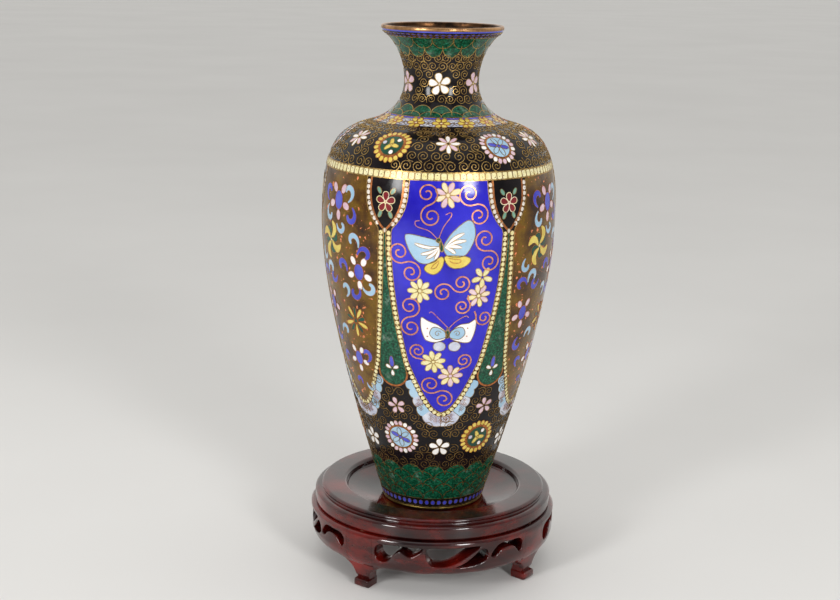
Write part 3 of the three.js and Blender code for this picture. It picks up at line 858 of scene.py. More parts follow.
def lower_ground():
    piece = Piece("lower_ground_cells")
    low = SCALES_TOP - 5.6 * 0.55
    piece.ground(low, PANEL_TIP + 25, black)
    keep = []
    for kind, azimuth, i in motif_ring(True):
        if kind == "medallion":
            medallion(piece, Spot(azimuth, 41.5, 24 * (-1) ** i), warm=i % 2 == 0)
            keep.append((azimuth, 41.5, 9.4))
            flower(piece, Spot(azimuth, 59, 12), 5, 0.5, 4.8, 3.3, [pink], fine_wire, 0.9)
            keep.append((azimuth, 59, 4.4))
        else:
            flower(piece, Spot(azimuth, 37.3, 3), 5, 0.5, 5.2, 4.0, [white], fine_wire, 0.9)
            keep.append((azimuth, 37.3, 4.9))
    clear = far_from(keep)
    borders = [point_line(FIRST_PANEL + i * PITCH).sideways(6.4) for i in range(-1, PANELS + 1)]
    angles = np.concatenate([line.angles for line in borders])
    s_values = np.concatenate([line.s for line in borders])

    def keep_out(azimuth, height, size):
        s, a = float(along(height)), math.radians(azimuth)
        if height < SCALES_TOP + size - 2.6 or clear(azimuth, height, size):
            return True
        from_panel = abs((azimuth - FIRST_PANEL + PITCH / 2) % PITCH - PITCH / 2)
        if height > PANEL_TIP and from_panel < panel_edge(height) + 4:
            return True
        if np.hypot((angles - a) * radius_at(s), s_values - s).min() < size * 0.85:
            return True
        drop = LOBE_BOTTOM + LOBE_ROUND - height
        return math.hypot(math.radians(PITCH / 2 - from_panel) * radius_at(s), drop) < LOBE_ROUND + size + 0.2
    spirals_over(piece, SCALES_TOP - 1.5, LOBE_BOTTOM + 8, 5.1, fine_wire, 0.27, keep_out)
    piece.build("vase", "lower_ground", slot="black_enamel")


def point_line(azimuth):
    """The edge of a panel's lower part, round its point."""
    return round_point(azimuth, panel_edge, LOBE_BOTTOM + 5, PANEL_TIP)


def panel_frame(piece, azimuth):
    """Wire round a panel's field."""
    for side in (-1, 1):
        piece.wire(edge_line(azimuth, side, panel_edge, PANEL_TOP, LOBE_BOTTOM + 5), 0.35, gold_wire,
                   FIELD + 0.1)
    piece.wire(point_line(azimuth), 0.35, gold_wire, FIELD + 0.1)


def beside(azimuth):
    """A function that gives the spot at a distance to the right of an azimuth, at a height."""
    def at(x, height):
        r = float(radius_at(along(height)))
        return Spot(azimuth + math.degrees(x / r), height)
    return at


def scroll_panel(name, azimuth, node):
    """A blue panel: two butterflies among scrolls and flowers."""
    piece = Piece(name)
    at = beside(azimuth)
    piece.ground(PANEL_TIP, PANEL_TOP, blue, azimuth, panel_edge, FIELD)
    panel_frame(piece, azimuth)

    # pairs of scrolls of one wire: the places of both middles and the hand they turn
    pairs = [
        (-10, 166.6, -7.9, 156.2, -1), (9.5, 166.5, 14, 156.6, 1), (17.8, 145.2, 20.2, 134.4, 1),
        (-22.8, 138.7, -17.3, 129.3, 1), (-1.6, 119.9, 6.9, 124.6, -1), (-17.1, 112.5, -16.8, 102, -1),
        (-5.8, 72.4, 0.4, 64.4, 1),
    ]
    for x1, height1, x2, height2, hand in pairs:
        s_scroll(piece, at(x1, height1), (x2 - x1, float(along(height2) - along(height1))), hand)
    # single scrolls as (x, height, radius, where the tail leaves, hand)
    singles = [(7.6, 113, 4.2, 150, 1), (18.8, 106.8, 4.3, 60, -1), (-12.6, 90, 4.3, 30, 1),
               (9.7, 85, 4.2, 160, -1)]
    for x, height, radius, start, hand in singles:
        scroll(piece, at(x, height), radius, start, hand)
    flower(piece, at(-0.5, 166), 8, 1.0, 6.2, 3.0, [petal_cream, pink], gold_wire, 0.5, petal_cream, 22)
    flower(piece, at(-12.5, 120.5), 8, 1.0, 6.0, 2.8, [cream], gold_wire, 0.3, cream)
    flower(piece, at(15.5, 118), 8, 1.0, 5.8, 2.8, [petal_cream, pink], gold_wire, 0.5, petal_cream, 12)
    flower(piece, at(17, 127), 5, 0.6, 5.4, 2.8, [cream], gold_wire, 0.3, None, 36)
    flower(piece, at(-5, 84.5), 8, 0.9, 6.0, 2.8, [cream], gold_wire, 0.3, cream, 10)
    flower(piece, at(3.5, 77), 8, 1.0, 6.0, 3.0, [pink, petal_cream], gold_wire, 0.5, pink, 4)
    upper_butterfly(piece, at(-3, 141.5))
    lower_butterfly(piece, at(1.2, 98.5))
    piece.build("vase", node, slot="blue_enamel")


def wing(piece, spot, points, fill):
    piece.outlined(spot, smooth_path(points, 4, closed=True), fill, fine_wire)


def feathers(piece, spot, root, ends, width):
    """White streaks that fan out from the root of a wing."""
    root = np.array(root, float)
    for end in ends:
        end = np.array(end, float)
        t = np.linspace(0, 1, 9)
        bend = np.array([-(end - root)[1], (end - root)[0]]) * 0.08
        path = root + (end - root) * t[:, None] + bend * np.sin(math.pi * t)[:, None]
        widths = width * (0.18 + 0.9 * np.sin(math.pi * t ** 1.6) ** 0.8)
        piece.stroke(spot, path, widths + 0.6, gold_wire, DETAIL)
        piece.stroke(spot, path, widths, white, DETAIL + 0.06)


def upper_butterfly(piece, spot):
    wing(piece, spot, [(-1, 3), (-9, 5.2), (-16.8, 5.8), (-15.8, 0), (-12.5, -5.5), (-8, -7.8), (-2.2, -6),
                       (-1, -1)], light_blue)
    wing(piece, spot, [(1.2, 1.5), (5, 7.5), (11.5, 12.8), (14.8, 11.5), (15.8, 6), (14, 0.5), (10.5, -3.8),
                       (4, -4), (1.5, -2)], light_blue)
    feathers(piece, spot, (-1, 0.5), [(-12.5, 1.8), (-9.5, -3.2), (-7, -5.2), (-3, -5.5)], 1.2)
    feathers(piece, spot, (1.6, 0.2), [(10.5, 7), (11.5, 3.5), (9.5, 0.2), (6.5, -2.6)], 1.3)
    wing(piece, spot, [(0.2, -4), (-2.6, -5.8), (-7.2, -8.6), (-7.4, -11), (-3.5, -12.8), (-0.2, -10.6),
                       (1.4, -6)], yellow)
    wing(piece, spot, [(1.6, -4), (6, -3.6), (12.5, -4.2), (13.8, -6.4), (10.4, -9.2), (5.5, -9.6),
                       (2.4, -7.2)], yellow)
    piece.stroke(spot, smooth_path([(-1, -6), (-3.4, -8), (-4.6, -10), (-2.4, -9.4), (-1, -6.8)]), 0.28,
                 orange_wire)
    piece.stroke(spot, smooth_path([(3.4, -4.8), (6, -5.2), (9, -5.6), (8.6, -7), (5.4, -7), (4, -6)]),
                 0.28, orange_wire)
    piece.outlined(spot, petal(-3.6, 1.8, 2.0, 0.4, 188), dark_green, gold_wire, 0.35, DETAIL)
    piece.outlined(spot, disc(1.15, 12, -1.4, 3.6), dark_green, gold_wire, 0.3, DETAIL)
    piece.stroke(spot, smooth_path([(-2.2, 4.6), (-6, 8), (-11.6, 9.8), (-12.4, 12), (-10.4, 12.6)]), 0.35,
                 copper_wire)
    piece.stroke(spot, smooth_path([(-1.2, 4.8), (0.8, 10), (4.2, 15), (3.8, 16.6), (1.6, 15.6)]), 0.35,
                 copper_wire)


def lower_butterfly(piece, spot):
    left = [(-0.6, 1.5), (-4.5, 5.2), (-9.2, 7.2), (-12.6, 9), (-12.8, 4.5), (-11.8, 0.5), (-10, -2.8),
            (-5.5, -3.8), (-0.8, -1.8)]
    wing(piece, spot, left, white)
    wing(piece, spot, [(-x + 0.8, y - 1.2 if x < -9 else y) for x, y in left], white)
    inner = [(-0.6, 0.8), (-3.4, 3.4), (-7, 4), (-8.4, 0.6), (-5.6, -2.2), (-1, -1.2)]
    for side in (-1, 1):
        shape = [(-side * x, y) for x, y in inner]
        piece.outlined(spot, smooth_path(shape, 4, closed=True), light_blue, fine_wire, 0.32, DETAIL)
        piece.stroke(spot, turn(spiral(1.7, 1.2, 90, side, 0, 14), 0, side * 4.6, 0.8), 0.3, fine_wire)
        piece.outlined(spot, disc(3.0, 16, side * 3.6, -6.0, squash=0.86), lavender, fine_wire, 0.32)
        for x, y in ((9.6, 3.4), (9.4, -0.8)):
            piece.cell(spot, disc(0.38, 8, side * x, y), orange_wire, DETAIL)
    piece.outlined(spot, petal(-3.4, 1.6, 2.1, 0.4, 180), dark_green, gold_wire, 0.35, DETAIL)
    piece.outlined(spot, disc(0.8, 10, 0.3, 3.2), cell_blue, gold_wire, 0.28, DETAIL)
    piece.stroke(spot, smooth_path([(0, 4), (-3.6, 7.8), (-7.6, 11.8), (-9, 11.4)]), 0.32, copper_wire)
    piece.stroke(spot, smooth_path([(0.8, 4), (3.8, 7.2), (8.2, 9.8), (9.8, 9)]), 0.32, copper_wire)


def pinwheel(piece, spot, radius, blades):
    """Curved yellow blades with green leaves between them, turning round a small heart."""
    for i in range(2 * blades):
        yellow_blade = i % 2 == 0
        reach = radius * (1.0 if yellow_blade else 0.72)
        t = np.linspace(0, 1, 12)
        path = np.stack([reach * 0.42 * np.sin(math.pi * t * 0.9), 0.8 + (reach - 0.8) * t], -1)
        widths = reach * 0.36 * np.sin(math.pi * np.clip(t ** 1.3 * 0.94 + 0.04, 0, 1)) ** 0.8 + 0.25
        path = turn(path, 180 * i / blades)
        piece.stroke(spot, path, widths + 0.45, orange_wire, CELL)
        piece.stroke(spot, path, widths, yellow if yellow_blade else dark_green, DETAIL)
    piece.outlined(spot, disc(0.9, 10), petal_cream, gold_wire, 0.3, DETAIL + 0.05)


def star_blossom(piece, spot, size, heart_squash, outer_fill):
    """A blue oval heart with five loose oval petals round it."""
    piece.outlined(spot, disc(size * 0.46, 18, squash=heart_squash), cell_blue, orange_wire, 0.3, DETAIL)
    for i in range(5):
        a = math.radians(90 + 72 * i + 36)
        shape = turn(disc(size * 0.25, 12, squash=1.4), math.degrees(a) - 90,
                     size * 0.86 * math.cos(a), size * 0.96 * math.sin(a))
        piece.outlined(spot, shape, outer_fill, orange_wire, 0.25)


def spoon_flower(piece, spot, size):
    """Spoon petals, yellow and green by turns, round a green heart."""
    for i in range(10):
        reach = size * (1.0 if i % 2 else 0.86)
        shape = petal(size * 0.14, reach, size * 0.34, 0.9, 36 * i)
        piece.outlined(spot, shape, yellow if i % 2 else dark_green, orange_wire, 0.28, CELL)
    piece.outlined(spot, disc(size * 0.14, 10), dark_green, orange_wire, 0.28, DETAIL)


def goldstone_panel(name, azimuth, node):
    """A brown panel: blossoms, a pinwheel and a spoon flower, with comma leaves round them."""
    piece = Piece(name)
    at = beside(azimuth)
    piece.ground(PANEL_TIP, PANEL_TOP, brown, azimuth, panel_edge, FIELD)
    panel_frame(piece, azimuth)

    star_blossom(piece, at(0, 158.8), 7.4, 1.35, pink)
    pinwheel(piece, at(-7.5, 138.5), 9.2, 4)
    star_blossom(piece, at(14.3, 126), 6.8, 1.3, white)
    star_blossom(piece, at(-13.5, 106), 6.2, 1.3, pink)
    spoon_flower(piece, at(7.5, 100.5), 8.2)
    star_blossom(piece, at(4.5, 80.8), 5.8, 1.4, white)
    # comma leaves as (x and height of the tail, size, angle, hand, fill)
    leaves = [
        (6.9, 158.2, 6.6, -36, -1, light_blue), (10.2, 157, 6.4, -159, 1, cell_blue),
        (-1.6, 148, 5.6, -141, -1, light_blue), (14.8, 137.2, 6.4, 14, -1, light_blue),
        (13.8, 133.6, 6.4, -44, 1, cell_blue), (5.8, 124.4, 6.0, 20, -1, cell_blue),
        (15.2, 119.6, 6.2, -126, -1, light_blue), (13.6, 118.6, 6.0, -194, 1, cell_blue),
        (2.4, 111.6, 5.6, -36, -1, light_blue), (9.2, 79.4, 5.6, -46, -1, cell_blue),
        (6.2, 68.4, 4.6, -141, -1, light_blue), (2.6, 66, 3.8, 14, -1, cell_blue),
        (-9.4, 157, 6.4, 36, 1, cell_blue), (-9.4, 156, 6.2, 159, -1, light_blue),
        (-13.4, 120.5, 6.2, -14, 1, light_blue), (-13.9, 119.5, 6.0, 44, -1, cell_blue),
        (-17.6, 134, 5.4, 159, -1, light_blue), (-3.6, 122, 5.6, 141, 1, cell_blue),
        (-11.8, 93.6, 5.6, 150, -1, cell_blue), (-6.6, 91.6, 5.4, -30, 1, light_blue),
        (-6.2, 76.4, 4.6, 36, 1, cell_blue),
    ]
    for x, height, size, angle, hand, fill in leaves:
        comma(piece, at(x, height), size, angle, hand, fill)
    piece.build("vase", node, slot="goldstone_enamel")


def between_edge(height):
    return PITCH / 2 - panel_edge(height) + 0.15


def green_lobe(name, azimuth, node):
    """The field between two panels: a green lobe and the beads that edge it on both sides."""
    piece = Piece(name)
    piece.ground(LOBE_BOTTOM + 4, SHIELD_TIP, black, azimuth, between_edge, 0.03)
    piece.ground(LOBE_BOTTOM, SHIELD_TIP, green, azimuth, lambda h: max(lobe_edge(h) - 0.1, 0.3), FIELD, 1.2)
    piece.wire(round_point(azimuth, lobe_edge, LOBE_BOTTOM + LOBE_ROUND + 1, LOBE_BOTTOM + 0.01), 0.9,
               orange_wire)
    for side in (-1, 1):
        piece.wire(edge_line(azimuth, side, lobe_edge, SHIELD_TIP, LOBE_BOTTOM + LOBE_ROUND), 0.3, gold_wire)
        edge = edge_line(azimuth - side * PITCH / 2, side, panel_edge, SHIELD_TIP - 0.6, LOBE_BOTTOM + 5)
        for spot in edge.sideways(side * BEAD_INSET).spots(BEAD_SPACING):
            bead(piece, spot, cream)
    low = Spot(azimuth, 79)
    for angle in (62, 180, 298):
        piece.outlined(low, petal(0.4, 3.8, 2.5, 0.8, angle), white, fine_wire, 0.3)
    piece.outlined(low, petal(1.0, 7.0, 2.2, -0.3, 0), cell_blue, fine_wire, 0.3)
    piece.build("vase", node, slot="green_enamel")


def shield(name, azimuth, node):
    """A black shield with a red flower, a copper-orange band and white beads outside it."""
    piece = Piece(name)
    piece.ground(SHIELD_TIP, PANEL_TOP, black, azimuth, between_edge, 0.03, 1.5)
    for side in (-1, 1):
        piece.wire(edge_line(azimuth, side, lambda h: shield_edge(h) + 0.1, PANEL_TOP, SHIELD_TIP + 0.2), 1.0,
                   orange_wire, CELL)
        edge = edge_line(azimuth - side * PITCH / 2, side, panel_edge, PANEL_TOP - 1.0, SHIELD_TIP + 0.8)
        for spot in edge.sideways(side * BEAD_INSET).spots(BEAD_SPACING):
            bead(piece, spot, bead_white)
    bead(piece, Spot(azimuth, SHIELD_TIP - 0.6), bead_white, 1.15)
    middle = Spot(azimuth, 161.5)
    flower(piece, middle, 5, 0.3, 4.9, 3.9, [red], petal_cream, 0.8, red)
    for angle in (34, -34, 155, -155):
        shape = turn(disc(1.0, 12, squash=1.8), angle, *turn([(0, 6.3)], angle)[0])
        piece.outlined(middle, shape, leaf, fine_wire, 0.26)
    piece.build("vase", node, slot="black_enamel")


def panel_point(name, azimuth):
    """Beads round a panel's point, and the scalloped lavender border outside them."""
    piece = Piece(name)
    edge = point_line(azimuth)
    for spot in edge.sideways(BEAD_INSET).spots(BEAD_SPACING):
        bead(piece, spot, cream)
    total = edge.lengths()[-1]
    lobes = 2 * int(round(total / 8.6))
    fine = edge.at(np.linspace(0, total, 12 * lobes + 1))
    share = np.linspace(0, lobes, len(fine.s))
    inner = fine.sideways(2.5)
    swell = 2.6 * np.exp(-((share - lobes / 2) / 2.2) ** 2)
    outer = fine.sideways(5.4 + swell + 1.1 * np.abs(np.sin(math.pi * share)) ** 0.7)

    def is_plain(lobe):
        return min(lobe, lobes - 1 - lobe) in (0, 1, 3)

    for lobe in range(lobes):
        part = slice(12 * lobe, 12 * lobe + 13)
        plain = is_plain(lobe)
        piece.ribbon(WallLine(outer.angles[part], outer.s[part]), WallLine(inner.angles[part], inner.s[part]),
                     light_blue if plain else lavender, FIELD)
        if plain:
            continue
        cut = 12 * lobe
        piece.wire(WallLine(np.array([inner.angles[cut], outer.angles[cut]]),
                            np.array([inner.s[cut], outer.s[cut]])), 0.25, fine_wire, CELL)
    for row in (3.5, 5.3):
        places = fine.sideways(row)
        for k, spot in enumerate(places.spots(2.5)):
            lobe = int(lobes * (k + 0.5) / max(1, round(places.lengths()[-1] / 2.5)))
            if is_plain(lobe):
                continue
            for i in range(4):
                ring = disc(0.5, 8, *turn([(0, 0.72)], 90 * i + rng.uniform(-9, 9))[0])
                piece.stroke(spot, ring, 0.13, pit_wire, CELL, closed=True)
    piece.wire(outer, 0.3, fine_wire, CELL)
    piece.build("vase", slot="cream_enamel")


def cream_band():
    piece = Piece("cream_band_cells")
    piece.ground(PANEL_TOP - 0.2, CREAM_TOP, cream)
    middle = 0.5 * (PANEL_TOP + CREAM_TOP)
    count = int(round(2 * math.pi * float(radius_at(along(middle))) / 3.0))
    for i in range(count):
        spot = Spot((i + 0.5) * 360 / count, middle)
        piece.outlined(spot, tile(2.8, 3.3), cream, bead_wire, 0.22)
        for _ in range(rng.choice((0, 1, 1, 2))):
            place = (rng.uniform(-0.8, 0.8), rng.uniform(-1.0, 1.0))
            piece.cell(spot, disc(rng.uniform(0.14, 0.26), 6, *place), pit_red, DETAIL)
    piece.ring_wire(PANEL_TOP, 0.4, gold_wire)
    piece.ring_wire(CREAM_TOP, 0.4, gold_wire)
    piece.build("vase", "cream_band", slot="cream_enamel")


def shoulder():
    piece = Piece("shoulder_cells")
    piece.ground(CREAM_TOP, SHOULDER_TOP + 0.4, black)
    keep = []
    for kind, azimuth, i in motif_ring(False):
        if kind == "medallion":
            azimuth -= 2.4 if i % 2 == 0 else 0.4
            medallion(piece, Spot(azimuth, 186.8, 15 * (-1) ** i), warm=i % 2 == 0)
            keep.append((azimuth, 186.8, 9.4))
        else:
            flower(piece, Spot(azimuth, 188.2), 8, 0.6, 5.8, 2.6, [white, pink], gold_wire, 0.6)
            keep.append((azimuth, 188.2, 5.6))
    spirals_over(piece, CREAM_TOP + 0.3, SHOULDER_TOP, 5.3, gold_wire, 0.27, far_from(keep))
    piece.build("vase", "shoulder_ground", slot="black_enamel")


def collar():
    piece = Piece("collar_cells")
    leaf_top, ring_top = 197.0, 197.8
    piece.ground(SHOULDER_TOP + 0.4, leaf_top, lavender)
    piece.ground(leaf_top, ring_top, cell_blue)
    piece.ground(ring_top, COLLAR_TOP + 1, black)
    count = 15
    for i in range(count):
        azimuth = FIRST_PANEL - 4 + i * 360 / count
        spot = Spot(azimuth, SHOULDER_TOP + 1.5)
        flower(piece, spot, 6, 0.8, 4.3, 3.2, [yellow], orange_wire, 0.7, petal_cream, 30)
        between = Spot(azimuth + 180 / count, SHOULDER_TOP + 1.5)
        for angle in (50, 130, -50, -130):
            piece.outlined(between, petal(0.2, 3.0, 1.6, 0.4, angle, 10), lavender, fine_wire, 0.25)
    piece.ring_wire(leaf_top, 0.3, gold_wire)
    piece.ring_wire(ring_top, 0.3, gold_wire)
    base = float(along(ring_top))
    scallop_row(piece, base + 1.6, 15, 5.6, green, gold_wire)
    scallop_row(piece, base, 15, 3.6, green, gold_wire, True, 0.5, 0.3, CELL + 0.05)
    piece.build("vase", "collar_band", slot="yellow_enamel")


def neck():
    piece = Piece("neck_cells")
    piece.ground(COLLAR_TOP + 1, NECK_TOP + 4, black)
    keep = []
    for i in range(PANELS):
        azimuth = -3.5 + i * PITCH
        fill = white if i % 2 == 0 else pink
        flower(piece, Spot(azimuth, 213, 8), 5, 0.5, 5.5, 4.4, [fill], gold_wire, 0.9, petal_cream)
        keep.append((azimuth, 213, 5.3))
    spirals_over(piece, COLLAR_TOP + 0.4, NECK_TOP + 1.5, 4.6, gold_wire, 0.26, far_from(keep))
    piece.build("vase", "neck_ground", slot="black_enamel")


def mouth_border():
    piece = Piece("mouth_border_cells")
    top = float(along(BORDER_TOP))
    dots_low = top - 3.3
    piece.ground(NECK_TOP + 4, float(height_at(dots_low)), green)
    piece.ground(float(height_at(dots_low)), BORDER_TOP, black)
    bottom = float(along(NECK_TOP))
    rise = 0.56 * (dots_low - bottom)
    scallop_row(piece, bottom + rise, 16, rise, green, gold_wire, False, 0.5, 0.3, CELL)
    scallop_row(piece, dots_low, 16, rise, green, gold_wire, False, 0.0, 0.3, CELL + 0.05)
    count = 61
    for i in range(count):
        spot = Spot(i * 360 / count, float(height_at(dots_low + 1.6)))
        piece.outlined(spot, disc(1.12, 10, squash=1.25), cell_blue, fine_wire, 0.26)
    piece.ring_wire(float(height_at(dots_low)), 0.3, gold_wire)
    piece.build("vase", "mouth_border", slot="green_enamel")


# ---------------------------------------------------------------- turned pieces
def rounded(corners, steps=5):
    """A closed profile of (radius, height, rounding) corners with its corners rounded."""
    n = len(corners)
    out = []
    for i, (r, z, fillet) in enumerate(corners):
        here = np.array((r, z), float)
        if fillet <= 0:
            out.append(here)
            continue
        before = np.array(corners[i - 1][:2], float) - here
        after = np.array(corners[(i + 1) % n][:2], float) - here
        cut = min(fillet, 0.48 * np.linalg.norm(before), 0.48 * np.linalg.norm(after))
        a = here + before / np.linalg.norm(before) * cut
        b = here + after / np.linalg.norm(after) * cut
        for t in np.linspace(0, 1, steps):
            out.append((1 - t) ** 2 * a + 2 * (1 - t) * t * here + t * t * b)
    return np.array(out)


def turned(name, profile, material, body, nodes, segments=192):
    """A profile of (radius, height) in mm turned about the axis; points on the axis are joined."""
    mesh = bmesh.new()
    angles = np.linspace(0, 2 * math.pi, segments, endpoint=False)
    rings = []
    for r, z in profile:
        if r < 1e-6:
            rings.append([mesh.verts.new((0, 0, z * MM))])
        else:
            circle = [(r * math.sin(a) * MM, -r * math.cos(a) * MM, z * MM) for a in angles]
            rings.append([mesh.verts.new(point) for point in circle])
    for ring, following in zip(rings, rings[1:] + rings[:1]):
        for i in range(segments):
            j = (i + 1) % segments
            corners = [ring[i % len(ring)], ring[j % len(ring)], following[j % len(following)],
                       following[i % len(following)]]
            corners = list(dict.fromkeys(corners))
            if len(corners) > 2:
                mesh.faces.new(corners)
    bmesh.ops.recalc_face_normals(mesh, faces=mesh.faces)
    data = bpy.data.meshes.new(name)
    mesh.to_mesh(data)
    mesh.free()
    data.materials.append(material)
    return finish_mesh(data, name, body, nodes, 40)


def rim_ring():
    low, high = VASE_BASE + BORDER_TOP, VASE_BASE + RIM_TOP
    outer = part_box("rim_ring")[1].x / MM
    inner = outer - 2.3
    under = [(outer - 2.2, low - 0.6), (outer - 1.15, low - 0.5), (outer - 0.3, low + 1.0),
             (outer - 2.2, low + 1.0)]
    turned("rim_underside", under, cell_blue, "vase", [])
    profile = rounded([
        (inner + 0.6, low + 0.7, 0.2), (outer - 0.7, low + 0.8, 0.2), (outer - 0.1, low + 1.1, 0.4),
        (outer, (low + high) / 2 + 0.5, 0.5), (outer - 0.3, high, 0.8), (inner + 0.9, high, 0.6),
        (inner + 0.5, high - 0.5, 0.3),
    ])
    turned("rim_ring_brass", profile, rim_brass, "vase", ["rim_ring"])
    lip = rounded([
        (inner - 0.1, low - 1.6, 0.3), (inner + 0.7, low - 1.4, 0.2), (inner + 0.95, high - 0.15, 0.3),
        (inner + 0.2, high - 0.3, 0.3)])
    turned("rim_lip_stained", lip, rim_stain, "vase", [])


def foot_ring():
    low, high = VASE_BASE, VASE_BASE + FOOT_RING_TOP
    outer = FOOT_RADIUS + 0.35
    profile = rounded([
        (outer - 3.4, low, 0.3), (outer - 0.3, low, 0.3), (outer, low + 0.6, 0.4),
        (outer + 0.1, high - 0.3, 0.3), (outer - 0.2, high + 0.2, 0.2), (outer - 3.4, high + 0.2, 0.2),
    ])
    turned("foot_ring_brass", profile, foot_brass, "vase", ["foot_ring"])


def lining():
    """The counter-enamel inside, following the wall up to the rim, with a stained band at the mouth."""
    top = float(along(BORDER_TOP)) - 1.5
    stations = np.linspace(float(along(FOOT_RING_TOP + 3)), top, 90)
    share = np.clip((stations - (LINE_S[-1] - 22)) / 22, 0, 1)
    depth = 2.9 - 1.5 * share

    def layer(s, extra):
        xyz = wall_xyz(0, s, -(np.interp(s, stations, depth) + extra)) / MM
        return [(-p[1], p[2]) for p in xyz]
    bumps = np.sin(np.arange(90) * 2.1) * 0.05
    turned("inner_enamel_skin", layer(stations, 0.0) + layer(stations, 0.6 + bumps)[::-1], turquoise, "vase",
           ["inner_enamel"], 96)
    band = np.linspace(top - 2.0, top, 12)
    turned("mouth_stain", layer(band, 0.5) + layer(band, np.linspace(0.72, 0.95, 12))[::-1], rim_stain,
           "vase", [], 96)


# ---------------------------------------------------------------- the stand
FRAME_LOW, FRAME_HIGH = (corner.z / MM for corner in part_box("apron_1"))
FRAME_RADIUS = cad_high.x / MM
FRAME_WALL = 8.6
QUARTER = FRAME_RADIUS * math.pi / 2
LEG_AZIMUTH = -35.4
LEG_HALF = 7.65


def frame_radii(height):
    """The carved frame's outer and inner radius at a height."""
    outer_heights = [0, 0.6, 3.0, 3.6, 4.1, 6, 12, 14, 17, 24, 28.1, FRAME_HIGH]
    outer_insets = np.array([2.8, 2.3, 2.3, 2.8, 4.6, 3.4, 2.6, 1.3, 0.4, 0.2, 0.0, 0.9])
    inner_heights = [0, 3.6, 8.4, 12, 23.3, FRAME_HIGH]
    inner_insets = np.array([11.3, 11.3, 9.7, 11.2, 9.2, 8.6])
    outer = np.interp(height, outer_heights, FRAME_RADIUS - outer_insets)
    inner = np.interp(height, inner_heights, FRAME_RADIUS - inner_insets)
    return outer, inner


def cut_off(mesh, x, side):
    """Saw a flat plate through at x and keep the part towards the middle."""
    everything = mesh.verts[:] + mesh.edges[:] + mesh.faces[:]
    cut = bmesh.ops.bisect_plane(mesh, geom=everything, plane_co=(x, 0, 0), plane_no=(side, 0, 0), dist=1e-5,
                                 clear_outer=True)
    edges = [item for item in cut["geom_cut"] if isinstance(item, bmesh.types.BMEdge)]
    bmesh.ops.holes_fill(mesh, edges=edges, sides=0)


def bent_plate(name, outlines, centre, nodes, seam, bevel=0.6):
    """A fretted plate with rounded edges, sawn off square at its seams and bent onto the frame."""
    curve = bpy.data.curves.new(name, "CURVE")
    curve.dimensions = "2D"
    curve.fill_mode = "BOTH"
    half = FRAME_WALL / 2
    curve.extrude = half - bevel
    curve.bevel_depth = bevel
    curve.bevel_resolution = 2
    curve.offset = -bevel
    for outline in outlines:
        spline = curve.splines.new("POLY")
        spline.points.add(len(outline) - 1)
        for point, (x, y) in zip(spline.points, outline):
            point.co = (x, y, 0, 1)
        spline.use_cyclic_u = True
    source = bpy.data.objects.new(name + "_flat", curve)
    bpy.context.scene.collection.objects.link(source)
    bpy.context.view_layer.update()
    data = bpy.data.meshes.new_from_object(source)
    bpy.data.objects.remove(source)
    mesh = bmesh.new()
    mesh.from_mesh(data)
    bmesh.ops.remove_doubles(mesh, verts=mesh.verts, dist=0.001)
    cut_off(mesh, seam, 1)
    cut_off(mesh, -seam, -1)
    for x in np.arange(-seam + 1.5, seam, 1.8):
        everything = mesh.verts[:] + mesh.edges[:] + mesh.faces[:]
        bmesh.ops.bisect_plane(mesh, geom=everything, plane_co=(x, 0, 0), plane_no=(1, 0, 0), dist=1e-5)
    for y in (0.6, 3.0, 3.6, 4.1, 5, 6, 8.4, 10, 12, 14, 15.5, 17, 20, 23.3, 26, 28.1):
        everything = mesh.verts[:] + mesh.edges[:] + mesh.faces[:]
        bmesh.ops.bisect_plane(mesh, geom=everything, plane_co=(0, y, 0), plane_no=(0, 1, 0), dist=1e-5)
    for vertex in mesh.verts:
        x, y, w = vertex.co
        outer, inner = frame_radii(y)
        r = outer + (w - half) * (outer - inner) / FRAME_WALL
        a = centre + x / FRAME_RADIUS
        vertex.co = Vector((r * math.sin(a), -r * math.cos(a), y)) * MM
    bmesh.ops.recalc_face_normals(mesh, faces=mesh.faces)
    mesh.to_mesh(data)
    mesh.free()
    data.materials.clear()
    data.materials.append(wood)
    data.name = name
    return finish_mesh(data, name, "stand", nodes, 50)


def lower_edge():
    """Half of the frame's lower edge, out from the middle of a leg: foot, ankle, bracket and apron."""
    foot = [(4.4, 0), (4.4, 3.4), (4.0, 3.9)]
    bracket = smooth_path([(4.1, 4.6), (4.8, 7.0), (6.2, 9.0), (8.6, 10.8), (12, 12.2), (16, 12.8),
                           (24, 12.6), (33, 12.1), (41, 12.4), (QUARTER / 2, 12.1)], 4)
    return foot + list(map(tuple, bracket))


def leg(index):
    """A bracket leg that narrows to an ankle over a block foot."""
    half = [point for point in lower_edge() if point[0] < 13]
    half.append((half[-1][0], FRAME_HIGH))
    outline = half + [(-x, y) for x, y in reversed(half)]
    bent_plate(f"leg_{index + 1}_carved", [outline], math.radians(LEG_AZIMUTH + 90 * index),
               [f"leg_{index + 1}"], LEG_HALF)


